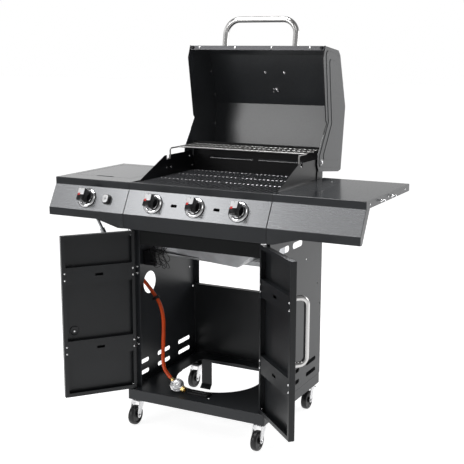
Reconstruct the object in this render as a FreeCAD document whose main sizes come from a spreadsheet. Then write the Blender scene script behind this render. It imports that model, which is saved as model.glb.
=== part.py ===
"""A three-burner gas barbecue on a two-door cart, built as separate pieces in one frame.

X runs across the grill to its right, Y from front to back and Z up. The origin is on the floor,
below the middle of the object with its lid and doors open, which is how it rests.
Every length is in millimetres.
"""
import FreeCAD, Part
import math
import os
import re
import Sketcher

Vector = FreeCAD.Vector
Rotation = FreeCAD.Rotation
Placement = FreeCAD.Placement

DIMENSIONS = [
    # the whole
    ("overall_width", 1270.0),
    ("console_width", 588.0),
    ("cabinet_width", 580.0),
    ("shelf_top", 934.0),
    ("shelf_front", -224.0),
    ("shelf_rear", 244.0),
    ("gauge", 1.2),
    ("bend", 2.4),
    # console and shelf fronts
    ("band_bottom", 908.0),
    ("slope_bottom", 821.0),
    ("slope_foot", -272.0),
    ("fascia_bottom", 767.0),
    ("strip_bottom", 793.0),
    ("console_rear", -166.0),
    ("skirt_bottom", 907.0),
    ("knob_pitch", 176.0),
    ("side_knob_offset", 471.0),
    ("button_offset", 378.0),
    ("window_offset", 88.0),
    # base tray and casters
    ("base_bottom", 99.0),
    ("base_top", 140.0),
    ("base_front", -265.0),
    ("base_rear", 248.0),
    ("opening_radius", 171.0),
    ("opening_offset", -39.0),
    ("opening_corner", 29.0),
    ("wheel_radius", 37.5),
    ("wheel_width", 24.0),
    ("axle_radius", 4.0),
    ("stem_radius", 5.5),
    ("caster_offset", 261.0),
    ("caster_trail", 18.0),
    ("front_swivel", -244.0),
    ("rear_swivel", 211.0),
    ("running_gap", 0.05),
    # cabinet
    ("side_front", -230.0),
    ("side_rear", 252.0),
    ("side_top", 888.0),
    ("front_flange", 40.0),
    ("rear_flange", 23.0),
    ("back_top", 446.0),
    ("rail_bottom", 703.0),
    # doors
    ("door_bottom", 142.0),
    ("door_top", 757.0),
    ("door_width", 280.0),
    ("door_depth", 22.0),
    ("door_lip", 14.0),
    ("pin_offset", 275.0),
    ("pin_line", -252.0),
    ("pin_radius", 4.0),
    ("left_door_angle", 129.0),
    ("right_door_angle", 137.0),
    # firebox
    ("firebox_front", -166.0),
    ("grate_front", -204.0),
    ("firebox_rear", 246.0),
    ("firebox_half", 287.4),
    ("wall_gauge", 1.6),
    ("hopper_top", 780.0),
    ("grate_top", 932.0),
    ("burner_height", 860.0),
    ("rack_height", 1038.0),
    # lid
    ("lid_half", 293.0),
    ("lid_gauge", 1.5),
    ("lid_angle", 98.7),
    ("pivot_back", 215.2),
    ("pivot_height", 996.5),
    ("lid_handle_radius", 12.0),
    ("lid_handle_half", 153.0),
    # gas
    ("hose_radius", 7.25),
    ("manifold_back", -195.0),
    ("manifold_height", 833.0),
]

doc = FreeCAD.newDocument("GasGrill")
sheet = doc.addObject("Spreadsheet::Sheet", "Dimensions")
for row, (alias, number) in enumerate(DIMENSIONS, start=1):
    sheet.set("A%d" % row, alias)
    sheet.set("B%d" % row, str(number))
    sheet.setAlias("B%d" % row, alias)
doc.recompute()
NAMES = {alias for alias, number in DIMENSIONS}
parts = {}


# ---------------------------------------------------------------- formulas and primitives

def formula(text):
    """The expression that binds a property to the sheet: dimension names become its cells."""
    return re.sub("[a-z_]+", lambda word: "Dimensions." + word.group() if word.group() in NAMES
                  else word.group(), str(text))


def size(text):
    """The number that a formula of dimension names comes to."""
    numbers = re.sub("[a-z_]+", lambda word: "(%s)" % sheet.get(word.group()), str(text))
    return FreeCAD.Units.Quantity(numbers).Value


def point(*texts):
    return Vector(*[size(text) for text in texts])


def keep(node, solid):
    """Name a finished sub-part: its label is its node and its file."""
    solid.Label = node
    parts[node] = solid
    return solid


def place(solid, corner):
    for axis, text in zip("xyz", corner):
        solid.setExpression("Placement.Base." + axis, formula(text))
    return solid


def box(name, corner, extent):
    solid = doc.addObject("Part::Box", name)
    for side, text in zip(("Length", "Width", "Height"), extent):
        solid.setExpression(side, formula(text))
    return place(solid, corner)


TURNS = {"X": Rotation(Vector(0, 1, 0), 90), "Y": Rotation(Vector(1, 0, 0), -90), "Z": Rotation()}


def cylinder(name, base, axis, radius, length):
    solid = doc.addObject("Part::Cylinder", name)
    turn = TURNS[axis] if isinstance(axis, str) else Rotation(Vector(0, 0, 1), axis)
    solid.Placement = Placement(Vector(), turn)
    solid.setExpression("Radius", formula(radius))
    solid.setExpression("Height", formula(length))
    return place(solid, base)


def fuse(name, solids):
    result = doc.addObject("Part::MultiFuse", name)
    result.Shapes = list(solids)
    result.Refine = True
    return result


def group(name, solids):
    """Separate solids that share one node."""
    result = doc.addObject("Part::Compound", name)
    result.Links = list(solids)
    return result


def cut(name, base, tools):
    result = doc.addObject("Part::Cut", name)
    result.Base = base
    result.Tool = tools[0] if len(tools) == 1 else fuse(name + "_tools", tools)
    result.Refine = True
    return result


def round_edges(name, base, radius, wanted):
    """Round the edges of a solid that a test picks out."""
    doc.recompute()
    result = doc.addObject("Part::Fillet", name)
    result.Base = base
    chosen = [n for n, edge in enumerate(base.Shape.Edges, start=1) if wanted(edge)]
    result.Edges = [(n, size(radius), size(radius)) for n in chosen]
    return result


def along(axis):
    """A test for straight edges that run along an axis."""
    def wanted(edge):
        ends = [v.Point for v in edge.Vertexes]
        return len(ends) == 2 and abs((ends[1] - ends[0]).normalize().dot(axis)) > 0.999
    return wanted


def slot(name, side, centre_y, centre_z, length, height):
    """A cutter for a round-ended slot through a side panel."""
    start = "%s * cabinet_width / 2 - 20" % side
    low = "%s - (%s) / 2" % (centre_z, height)
    middle = "(%s) - (%s)" % (length, height)
    pieces = [box(name + "_bar", (start, "%s - (%s) / 2" % (centre_y, middle), low),
                  (40, middle, height))]
    for end, sign in (("_front", "-"), ("_rear", "+")):
        back = "%s %s (%s) / 2" % (centre_y, sign, middle)
        pieces.append(cylinder(name + end, (start, back, centre_z), "X", "(%s) / 2" % height, 40))
    return fuse(name, pieces)


# ---------------------------------------------------------------- sketches and sheet metal

def prism(name, plane, outline, start, length, holes=()):
    """Pad an outline of formula pairs, with round holes, from a plane's offset by a length.

    The pad goes along +Z from XY, +X from YZ (outline in Y, Z) and -Y from XZ (outline in X, Z).
    """
    body = doc.addObject("PartDesign::Body", name)
    origin = [f for f in body.Origin.OriginFeatures if f.Role == plane + "_Plane"][0]
    sketch = body.newObject("Sketcher::SketchObject", name + "_outline")
    sketch.AttachmentSupport = (origin, [""])
    sketch.MapMode = "FlatFace"
    sketch.setExpression("AttachmentOffset.Base.z", formula(start))
    corners = [Vector(size(across), size(up), 0) for across, up in outline]
    count = len(corners)
    for n in range(count):
        sketch.addGeometry(Part.LineSegment(corners[n], corners[(n + 1) % count]), False)
    for n in range(count):
        sketch.addConstraint(Sketcher.Constraint("Coincident", n, 2, (n + 1) % count, 1))
    for n, pair in enumerate(outline):
        pin_point(sketch, n, 1, pair)
    for n, (across, up, radius) in enumerate(holes, start=count):
        middle = Vector(size(across), size(up), 0)
        sketch.addGeometry(Part.Circle(middle, Vector(0, 0, 1), size(radius)), False)
        pin_point(sketch, n, 3, (across, up))
        index = sketch.addConstraint(Sketcher.Constraint("Radius", n, size(radius)))
        sketch.setExpression("Constraints[%d]" % index, formula(radius))
    pad = body.newObject("PartDesign::Pad", name + "_pad")
    pad.Profile = sketch
    pad.setExpression("Length", formula(length))
    body.Tip = pad
    return body


def pin_point(sketch, geometry, end, pair):
    for kind, text in zip(("DistanceX", "DistanceY"), pair):
        index = sketch.addConstraint(Sketcher.Constraint(kind, -1, 1, geometry, end, size(text)))
        sketch.setExpression("Constraints[%d]" % index, formula(text))


def round_corners(body, radius, wanted):
    """Round the pad's edges that a test picks out."""
    doc.recompute()
    pad = body.Tip
    names = ["Edge%d" % n for n, edge in enumerate(pad.Shape.Edges, start=1) if wanted(edge)]
    fillet = body.newObject("PartDesign::Fillet", body.Name + "_round")
    fillet.Base = (pad, names)
    fillet.setExpression("Radius", formula(radius))
    body.Tip = fillet
    return body


def rounded_path(points, radii):
    """A wire of straight runs joined by tangent arcs, one radius for each inner point."""
    edges = []
    start = points[0]
    for before, corner, after, radius in zip(points, points[1:], points[2:], radii):
        back = (before - corner).normalize()
        ahead = (after - corner).normalize()
        half_turn = (math.pi - back.getAngle(ahead)) / 2
        reach = radius * math.tan(half_turn)
        first = corner + back * reach
        last = corner + ahead * reach
        to_middle = (back + ahead).normalize()
        middle = corner + to_middle * (radius / math.cos(half_turn) - radius)
        if (first - start).Length > 1e-6:
            edges.append(Part.LineSegment(start, first).toShape())
        edges.append(Part.Arc(first, middle, last).toShape())
        start = last
    edges.append(Part.LineSegment(start, points[-1]).toShape())
    return Part.Wire(edges)


def feature(name, shape):
    result = doc.addObject("Part::Feature", name)
    result.Shape = shape
    return result


def folded_sheet(name, points, gauge, run):
    """Sheet metal folded along a section of points, with bend radii, and pushed along a run."""
    bend = size("bend")
    path = rounded_path(points, [bend] * (len(points) - 2))
    band = path.makeOffset2D(gauge, 0, True, True)
    return feature(name, band.extrude(run))


def bent_tube(name, points, radii, radius):
    """A round bar or tube along straight runs and tangent arcs."""
    path = rounded_path(points, radii)
    heading = points[1] - points[0]
    ring = Part.Wire(Part.Circle(points[0], heading, radius).toShape())
    return feature(name, path.makePipeShell([ring], True, True))


# ---------------------------------------------------------------- base tray and bottle fittings

def make_base():
    width, depth = "cabinet_width", "base_rear - base_front"
    blank = box("tray_blank", ("-cabinet_width / 2", "base_front", "base_bottom"),
                (width, depth, "base_top - base_bottom"))
    upright = along(Vector(0, 0, 1))
    top = size("base_top")
    rounded = round_edges("tray_rounded", blank, 3,
                          lambda edge: upright(edge) or edge.BoundBox.ZMin > top - 0.1)
    hollow = box("tray_hollow",
                 ("-cabinet_width / 2 + gauge", "base_front + gauge", "base_bottom - 1"),
                 (width + " - 2 * gauge", depth + " - 2 * gauge", "base_top - base_bottom + 1 - gauge"))
    shell = cut("tray_shell", rounded, [hollow])
    pads = []
    for side in ("-1", "1"):
        for name, start in (("front", "base_front + 0.5"), ("rear", "base_rear - 56.5")):
            pads.append(box("caster_pad_" + name,
                            ("%s * caster_offset - 28.4" % side, start, "base_bottom"), (56.8, 56, 3)))
    tray = fuse("tray_with_pads", [shell] + pads)
    round_part = cylinder("opening_round", ("opening_offset", 10, "base_top - 10"), "Z",
                          "opening_radius", 20)
    corner = prism("opening_square", "XY",
                   [("-213", "-10"), ("127", "-10"), ("127", "174"), ("-213", "174")],
                   "base_top - 10", 20)
    round_corners(corner, "opening_corner", upright)
    tools = [round_part, corner,
             cylinder("drain_hole", (34, -214, "base_top - 10"), "Z", 4, 20)]
    for side in ("-1", "1"):
        for line in ("front_swivel", "rear_swivel"):
            tools.append(cylinder("stem_hole", ("%s * caster_offset" % side, line, "base_bottom - 1"),
                                  "Z", "stem_radius + running_gap", 6))
    keep("base_tray", cut("base_tray", tray, tools))


def make_bottle_fittings():
    block = box("retainer_block", (-58, -214, "base_top"), (86, 38, 9))
    rounded = round_edges("retainer_rounded", block, 3,
                          lambda edge: edge.BoundBox.ZMax > size("base_top") + 1)
    groove = box("retainer_groove", (-44, -204, "base_top + 4"), (58, 16, 6))
    latch = cylinder("retainer_latch", (-46, -196, "base_top + 8"), "X", 4.5, 62)
    keep("cylinder_retainer", fuse("cylinder_retainer",
                                   [cut("retainer_cut", rounded, [groove]), latch]))
    under = "base_top - gauge - 0.1"
    section = [point(-214, 206, under), point(-214, 176, under), point(-214, 176, 32),
               point(-214, 160, 14)]
    keep("cylinder_strap", folded_sheet("cylinder_strap", section, -1.6, Vector(48, 0, 0)))


# ---------------------------------------------------------------- cabinet

def make_side_panels():
    for node, side in (("left_side_panel", -1), ("right_side_panel", 1)):
        outer = "%d * cabinet_width / 2" % side
        section = [point("%s - %d * front_flange" % (outer, side), "side_front", "base_top"),
                   point(outer, "side_front", "base_top"),
                   point(outer, "side_rear", "base_top"),
                   point("%s - %d * rear_flange" % (outer, side), "side_rear", "base_top")]
        if side > 0:
            section.reverse()
        sheet_metal = folded_sheet(node + "_sheet", section, size("gauge"),
                                   Vector(0, 0, size("side_top - base_top")))
        tools = []
        for back in (-164, -4, 157):
            for up in (172, 217):
                tools.append(slot("%s_vent" % node, side, back, up, 94, 17))
        for back in (-110, 10):
            tools.append(slot("%s_grip" % node, side, back, 713, 88, 24))
        inset = "%s - 20" % outer
        for back, up, radius in ((95, 639, 4), (209, 521, 3), (236, 433, 4)):
            tools.append(cylinder("panel_hole", (inset, back, up), "X", radius, 40))
        if side < 0:
            tools.append(cylinder("hose_hole", (inset, -103, 526), "X", 44, 40))
            tools.append(cylinder("manifold_hole", (inset, "manifold_back", "manifold_height"),
                                  "X", 16, 40))
        keep(node, cut(node, sheet_metal, tools))


def make_cross_members():
    reach = Vector(size("cabinet_width - 8"), 0, 0)
    left = "-cabinet_width / 2 + 4"
    rear = "side_rear - gauge - 0.1"
    section = [point(left, rear + " - 24", "back_top"), point(left, rear, "back_top"),
               point(left, rear, "base_top")]
    keep("back_panel", folded_sheet("back_panel", section, size("gauge"), reach))
    front = "side_front + gauge + 0.1"
    section = [point(left, front + " + 24", "fascia_bottom - 0.3"),
               point(left, front, "fascia_bottom - 0.3"),
               point(left, front, "rail_bottom"), point(left, front + " + 24", "rail_bottom")]
    keep("front_rail", folded_sheet("front_rail", section, size("-gauge"), reach))


# ---------------------------------------------------------------- console and shelves

def slope_place(across, outward):
    """A point on the middle of the sloping panels: across in X, outward along their normal."""
    middle = point(across, "(shelf_front + slope_foot) / 2", "(band_bottom + slope_bottom) / 2")
    return middle + slope_normal() * outward


def slope_normal():
    down = point(0, "slope_foot - shelf_front", "slope_bottom - band_bottom").normalize()
    return Vector(0, down.z, -down.y).normalize()


def slope_rod(name, across, radius, first, last):
    """A cylinder along the slope's normal, between two distances from the dark sheet's face."""
    base = slope_place(across, first)
    return cylinder(name, (base.x, base.y, base.z), slope_normal(), radius, last - first)


def front_section(across, rear_points):
    """The folded front of the console: top, band, slope and fascia."""
    return rear_points + [point(across, "shelf_front", "shelf_top"),
                          point(across, "shelf_front", "band_bottom"),
                          point(across, "slope_foot", "slope_bottom"),
                          point(across, "slope_foot", "fascia_bottom")]


def control_holes(name, stems, windows=(), buttons=()):
    tools = [slope_rod(name + "_stem_hole", across, 11, -8, 8) for across in stems]
    for across in windows:
        for shift in (-7, 0, 7):
            tools.append(slope_rod(name + "_window", across + shift, 6, -8, 8))
    tools += [slope_rod(name + "_button_hole", across, 11.5, -8, 8) for across in buttons]
    return tools


def steel_front(name, left, right):
    """A stainless sheet that lies on the slope between two places."""
    lift = slope_normal() * 0.05
    top = point(left, "shelf_front", "band_bottom") + lift
    foot = point(left, "slope_foot", "slope_bottom") + lift
    down = (foot - top).normalize()
    top += down * 1.5
    foot -= down * 1.5
    outer = [foot + slope_normal() * size("gauge"), top + slope_normal() * size("gauge")]
    face = Part.Face(Part.makePolygon([top, foot] + outer + [top]))
    return feature(name, face.extrude(Vector(size("%s - (%s)" % (right, left)), 0, 0)))


def make_console():
    left = "-console_width / 2 + 0.4"
    width = size("console_width - 0.8")
    ledge = [point(left, "console_rear", "shelf_top - 20"),
             point(left, "grate_front - 2", "shelf_top - 20"),
             point(left, "grate_front - 2", "shelf_top")]
    section = front_section(left, ledge)
    section.append(point(left, "slope_foot + 26", "fascia_bottom"))
    dark = folded_sheet("console_sheet", section, size("-gauge"), Vector(width, 0, 0))
    pitch = size("knob_pitch")
    window = size("window_offset")
    stems = (-pitch, 0, pitch)
    windows = (-window, window)
    keep("main_fascia", cut("main_fascia", dark, control_holes("dark", stems, windows)))
    steel = steel_front("console_steel", "-console_width / 2 + 1.8", "console_width / 2 - 1.8")
    keep("main_control_panel", cut("main_control_panel", steel,
                                   control_holes("steel", stems, windows)))


def shelf_body(name, side):
    """Top, rear skirt, folded front with its tapering strip, and the outer end plate."""
    inner = "%d * (console_width / 2 + 0.4)" % side
    outer = "%d * overall_width / 2" % side
    run = Vector(size("%s - (%s)" % (outer, inner)), 0, 0)
    section = front_section(inner, [point(inner, "shelf_rear", "skirt_bottom"),
                                    point(inner, "shelf_rear", "shelf_top")])
    folded = folded_sheet(name + "_sheet", section, size("-gauge"), run)
    low = "fascia_bottom - 2"
    seam = "%d * console_width / 2" % side
    taper = prism(name + "_taper", "XZ",
                  [("%s + %d * 25" % (seam, side), low),
                   ("%s + %d * 25" % (seam, side), "fascia_bottom"),
                   ("%s + %d * 120" % (seam, side), "strip_bottom"),
                   ("%s + %d * 400" % (seam, side), "strip_bottom"),
                   ("%s + %d * 400" % (seam, side), low)],
                  "-(slope_foot + 20)", 40)
    trimmed = cut(name + "_trimmed", folded, [taper])
    start = outer if side < 0 else outer + " - gauge"
    end_plate = prism(name + "_end", "YZ",
                      [("shelf_rear", "skirt_bottom"), ("shelf_rear", "shelf_top - 1"),
                       ("shelf_front + 1", "shelf_top - 1"), ("shelf_front + 0.4", "band_bottom"),
                       ("slope_foot + 0.4", "slope_bottom"), ("slope_foot + 0.4", "strip_bottom"),
                       ("slope_foot + 16", "strip_bottom"), ("shelf_front + 34", "skirt_bottom")],
                      start, "gauge")
    return fuse(name + "_body", [trimmed, end_plate])


def make_left_shelf():
    shelf = shelf_body("left_shelf", -1)
    opening = box("burner_opening", (-610, -132, "shelf_top - 10"), (262, 334, 20))
    offset, button = size("-side_knob_offset"), size("-button_offset")
    tools = [opening] + control_holes("left", (offset,), (), (button,))
    keep("left_shelf", cut("left_shelf", shelf, tools))
    steel = steel_front("left_steel", "-overall_width / 2 + 1", "-console_width / 2 - 1.8")
    keep("left_control_panel", cut("left_control_panel", steel,
                                   control_holes("left_steel", (offset,), (), (button,))))


def make_side_burner():
    """A pan with a ring burner and a trivet, under a flush lid hinged at its rear."""
    low = "shelf_top - 52"
    pan = cut("pan", box("pan_outer", (-616, -138, low), (274, 346, "52 - gauge - 0.1")),
              [box("pan_hollow", (-608.8, -130.8, low + " + gauge"), (259.6, 334.2, 60)),
               cylinder("pan_hinge_hole", (-620, 197.5, "shelf_top - 3.5"), "X",
                        "1.6 + running_gap", 282)])
    head = fuse("burner_head", [cylinder("head_base", (-479, 35, low + " + gauge"), "Z", 24, 12),
                                cylinder("head_crown", (-479, 35, low + " + gauge + 10"), "Z", 38, 9),
                                cylinder("head_cap", (-479, 35, low + " + gauge + 18"), "Z", 31, 4)])
    bars = []
    for turn in range(4):
        arm = Vector(1, 0, 0) if turn % 2 == 0 else Vector(0, 1, 0)
        sign = 1 if turn < 2 else -1
        start = Vector(-479, 35, size("shelf_top - 15")) + arm * (sign * 22)
        end = Vector(-479, 35, size("shelf_top - 15")) + arm * (sign * 116)
        foot = end - Vector(0, 0, size("52 - 15 - gauge - 3.6"))
        bars.append(bent_tube("trivet_arm", [start, end, foot], [8], 3.5))
    ring = doc.addObject("Part::Torus", "trivet_ring")
    ring.Radius1 = 60
    ring.Radius2 = 3.5
    place(ring, (-479, 35, "shelf_top - 15"))
    keep("side_burner", group("side_burner", [pan, head, fuse("trivet", bars + [ring])]))

    plate = box("lid_plate", (-608, -130, "shelf_top - gauge"), (258, 330, "gauge"))
    skirt = box("lid_skirt", (-603, -125, "shelf_top - 11"), (248, 318, 10.5))
    inside = box("lid_inside", (-601.8, -123.8, "shelf_top - 12"), (245.6, 315.6, 11.5))
    skirt_ring = cut("lid_skirt_ring", skirt, [inside])
    hinge = []
    for ear, pin in ((-603, -614), (-356.2, -356)):
        hinge.append(box("lid_ear", (ear, 192, "shelf_top - 6"), (1.2, 7.5, 5.5)))
        hinge.append(cylinder("lid_pin", (pin, 197.5, "shelf_top - 3.5"), "X", 1.6, 12))
    body = fuse("side_lid_body", [plate, skirt_ring] + hinge)
    notch = box("finger_notch", (-512, -135, "shelf_top - 5"), (80, 17, 10))
    rounded = round_edges("finger_notch_round", notch, 12,
                          lambda edge: along(Vector(0, 0, 1))(edge) and edge.BoundBox.YMin > -120)
    lid = cut("side_lid_cut", body, [rounded])
    keep("side_burner_lid", lid)


def make_right_shelf():
    shelf = shelf_body("right_shelf", 1)
    ribs = []
    for n in range(7):
        ribs.append(cylinder("shelf_rib", (314 + 15 * n, -150 + 9 * n, "shelf_top - 2.8"), "Y", 4,
                             300 - 18 * n))
    ribbed = fuse("right_shelf_ribbed", [shelf] + ribs)
    keep("right_shelf", ribbed)
    keep("right_front_panel", steel_front("right_front_panel", "console_width / 2 + 1.8",
                                          "overall_width / 2 - 1"))
    hooks = []
    for back in (-77, 40):
        pin = cylinder("hook_pin", ("overall_width / 2", back, 917), "X", 3, 13)
        head = cylinder("hook_head", ("overall_width / 2 + 12", back, 917), "X", 6, 4)
        hooks.append(fuse("hook", [pin, head]))
    keep("tool_hooks", group("tool_hooks", hooks))


# ---------------------------------------------------------------- knobs, valves and ignition

def slope_block(name, across, corner, extent, rounding):
    """A block that stands on the slope: its Z is the slope's normal and its Y runs up the slope."""
    blank = box(name + "_blank", corner, extent)
    rounded = round_edges(name, blank, rounding, along(Vector(0, 0, 1)))
    rounded.Placement = Placement(slope_place(across, 0), Rotation(Vector(0, 0, 1), slope_normal()))
    return rounded


def make_controls():
    """Bezel, knob with its stem and rotating plug for each valve, and the ignition button."""
    pitch = size("knob_pitch")
    places = {"left": size("-side_knob_offset"), "burner_left": -pitch, "burner_middle": 0.0,
              "burner_right": pitch}
    bezels = []
    for name, across in places.items():
        ring = cut("bezel_ring", slope_rod("bezel_disc", across, 38, 1.3, 9),
                   [slope_rod("bezel_bore", across, 27.5, 0, 12)])
        bezels.append(ring)
        skirt = slope_rod("knob_skirt", across, 26.5, 5, 12)
        grip = slope_block("knob_grip", across, (-15, -25, 11), (30, 50, 37), 5)
        stem = slope_rod("knob_stem", across, 3, -38, 6)
        keep("knob_" + name, fuse("knob_" + name, [skirt, grip, stem]))
        plug = cut("plug", slope_rod("plug_body", across, 6, -48, -26),
                   [slope_rod("plug_bore", across, 3.05, -44, -20)])
        keep("valve_plug_" + name, plug)
    across = size("-button_offset")
    shaft = slope_rod("button_shaft", across, 11, -14, 10)
    cap = slope_block("button_cap", across, (-13.5, -17, 4.6), (27, 34, 13.4), 10)
    keep("ignition_button", fuse("ignition_button", [shaft, cap]))
    frame = slope_block("collar_frame", across, (-16, -19.5, 1.3), (32, 39, 4.2), 12)
    hollow = slope_block("collar_hollow", across, (-13.9, -17.4, 0), (27.8, 34.8, 8), 10.4)
    bezels.append(cut("button_collar", frame, [hollow]))
    keep("knob_bezels", group("knob_bezels", bezels))


def make_gas_train():
    """Manifold pipe with a valve body behind each knob and the inlet under the left shelf."""
    pitch = size("knob_pitch")
    pipe = cylinder("manifold_pipe", (-524, "manifold_back", "manifold_height"), "X", 9, 736)
    solids = [pipe]
    for across in (size("-side_knob_offset"), -pitch, 0.0, pitch):
        valve = cut("valve_body", slope_rod("valve_cover", across, 14, -56, -28),
                    [slope_rod("valve_bore", across, 6.05, -50, -20)])
        solids.append(valve)
    inlet = inlet_points()
    solids.append(bent_tube("inlet_pipe", inlet, [24], 6))
    fitting_start = inlet[-1]
    heading = (inlet[-1] - inlet[-2]).normalize()
    nut = fitting_start - heading * 22
    solids.append(cylinder("inlet_nut", (nut.x, nut.y, nut.z), heading, 10, 22))
    keep("gas_manifold", fuse("gas_manifold", solids))


def inlet_points():
    start = point(-512, "manifold_back", "manifold_height")
    return [start, Vector(-499, -140, 757), Vector(-473, -140, 709)]


HOSE_ROUTE = [
    Vector(-473, -140, 709), Vector(-455, -140, 676), Vector(-427, -137, 645),
    Vector(-366, -133, 590), Vector(-303, -129, 541),
    Vector(-258, -130, 496), Vector(-221, -137, 456), Vector(-203, -145, 412),
    Vector(-195, -155, 363), Vector(-192, -165, 312), Vector(-187, -176, 266),
    Vector(-179, -188, 232), Vector(-161, -199, 207), Vector(-133, -206, 189),
]


def make_hose():
    """A rubber hose from the inlet nut through the left panel down to the regulator."""
    runs = [(b - a).Length for a, b in zip(HOSE_ROUTE, HOSE_ROUTE[1:])]
    turns = []
    for before, corner, after in zip(HOSE_ROUTE, HOSE_ROUTE[1:], HOSE_ROUTE[2:]):
        turns.append((corner - before).getAngle(after - corner))
    radii = [0.45 * min(pair) / math.tan(turn / 2) for pair, turn in zip(zip(runs, runs[1:]), turns)]
    hose = bent_tube("gas_hose", HOSE_ROUTE, radii, size("hose_radius"))
    length = rounded_path(HOSE_ROUTE, radii).Length
    print("hose: length %.0f, radii %s" % (length, [round(radius) for radius in radii]))
    expected = math.pi * size("hose_radius") ** 2 * length
    print("hose: volume %.0f, section times length %.0f" % (hose.Shape.Volume, expected))
    keep("gas_hose", hose)
    heading = (HOSE_ROUTE[-1] - HOSE_ROUTE[-2]).normalize()
    end = HOSE_ROUTE[-1]
    centre = end + heading * 38
    face = Vector(0.30, -0.62, 0.72)
    face = (face - heading * face.dot(heading)).normalize()
    outlet = Vector(0.93, -0.13, -0.34).normalize()
    solids = [spot_cylinder("hose_barb", end, heading, 6, 16),
              spot_cylinder("regulator_collar", end + heading * 8, heading, 9, 8),
              spot_cylinder("regulator_rim", centre - face * 3, face, 27, 6),
              spot_cylinder("regulator_cap", centre, face, 22, 13),
              spot_cylinder("regulator_back", centre - face * 12, face, 19, 12),
              spot_cylinder("regulator_neck", centre, outlet, 8, 30),
              spot_cylinder("union_nut", centre + outlet * 23, outlet, 13, 17)]
    keep("regulator", fuse("regulator", solids))


def spot_cylinder(name, base, heading, radius, length):
    return cylinder(name, (base.x, base.y, base.z), heading, radius, length)


def make_ignition_module():
    case = box("module_case", (-287, -150, 606), (58, 52, 54))
    keep("igniter_module", round_edges("igniter_module", case, 3, along(Vector(0, 0, 1))))


# ---------------------------------------------------------------- firebox

def make_firebox():
    walls = [("firebox_front + 0.3", "shelf_top"), ("16", "1011"), ("31", "1011"), ("31", "994"),
             ("49", "994"), ("49", "1011"), ("206", "1011"), ("firebox_rear", "985"),
             ("firebox_rear", "hopper_top"), ("firebox_front + 0.3", "hopper_top")]
    for node, start in (("firebox_left_wall", "-firebox_half"),
                        ("firebox_right_wall", "firebox_half - wall_gauge")):
        keep(node, prism(node, "YZ", walls, start, "wall_gauge"))
    half = "(firebox_half - wall_gauge - 0.2)"
    front = box("tub_front", ("-" + half, "firebox_front + 0.5", "hopper_top"),
                ("2 * " + half, "wall_gauge", "shelf_top - 14 - hopper_top"))
    inlets = [cylinder("burner_inlet", (across, "firebox_front - 5", "burner_height"), "Y", 15, 12)
              for across in ("-knob_pitch", "0", "knob_pitch")]
    rear = box("tub_rear", ("-" + half, "firebox_rear - wall_gauge - 0.3", "hopper_top"),
               ("2 * " + half, "wall_gauge", "1050 - hopper_top"))
    slits = [box("vent_slit", (across, "firebox_rear - 6", 985), (196, 12, 7)) for across in (-208, 12)]
    tub = fuse("firebox_tub", [cut("tub_front_cut", front, inlets), cut("tub_rear_cut", rear, slits),
                               make_hopper(), *make_tray_rails()])
    drain = cylinder("drain", (60, 170, 560), "Z", 12, 100)
    keep("firebox_shell", cut("firebox_shell", tub, [drain]))


def hopper_loft(inset, lift):
    """The sloping bottom: a rectangle above, narrowing to a slanted floor left of the drain."""
    half = size("firebox_half - wall_gauge - 0.2") - inset
    front = size("firebox_front + 0.5") + inset
    rear = size("firebox_rear - 0.3") - inset
    top = size("hopper_top") + (0.01 if inset else 0)
    upper = [Vector(-half, front, top), Vector(half, front, top), Vector(half, rear, top),
             Vector(-half, rear, top)]
    left, right, edge = -half, 70.0 - inset, -50.0 + inset
    lower = [Vector(left, edge, 637 + lift), Vector(right, edge, 612 + lift),
             Vector(right, 222.0 - inset, 612 + lift), Vector(left, 222.0 - inset, 637 + lift)]
    wires = [Part.makePolygon(corners + corners[:1]) for corners in (upper, lower)]
    return Part.makeLoft(wires, True, True)


def make_hopper():
    outer = hopper_loft(0.0, 0.0)
    inner = hopper_loft(size("wall_gauge"), size("wall_gauge"))
    return feature("hopper", outer.cut(inner))


def make_tray_rails():
    """Two rails below the hopper, which the grease tray slides in."""
    rails = []
    for name, across, height in (("left", -23.0, 31.5), ("right", 141.5, 82.0)):
        web = box("rail_web_" + name, (across, 84, 588), (1.5, 140, height))
        inward = across if name == "left" else across - 8.5
        lip = box("rail_lip_" + name, (inward, 84, 588), (10, 140, 1.5))
        rails += [web, lip]
    return rails


def make_grease_tray():
    outer = box("tray_outer", (-19, 86, 590), (158, 160, 18))
    inner = box("tray_inner", (-17.8, 87.2, 591.2), (155.6, 157.6, 20))
    pull = box("tray_pull", (30, 245, 590), (60, 14, 8))
    keep("grease_tray", fuse("grease_tray", [cut("tray_pan", outer, [inner]), pull]))


def make_burners():
    burners = []
    for across in ("-knob_pitch", "0", "knob_pitch"):
        tube = cylinder("burner_tube", (across, "firebox_front - 6", "burner_height"), "Y", 13, 396)
        bore = cylinder("burner_bore", (across, "firebox_front - 7", "burner_height"), "Y", 11.8, 380)
        burners.append(cut("burner", tube, [bore]))
    keep("burners", group("burners", burners))


def make_emitters():
    """Folded plates over the burners: a zigzag section in X and Z, one plate for each half."""
    plates = []
    for start in (-282.0, 3.0):
        count, pitch = 12, 279.0 / 12
        points = []
        for n in range(count + 1):
            up = 898.0 if n % 2 == 0 else 908.0
            points.append(Vector(start + n * pitch, size("firebox_front + 6"), up))
        bends = [3.0] * (len(points) - 2)
        band = rounded_path(points, bends).makeOffset2D(1.5, 0, True, True)
        plates.append(feature("emitter_plate", band.extrude(Vector(0, 396, 0))))
    keep("emitters", group("emitters", plates))


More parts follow.
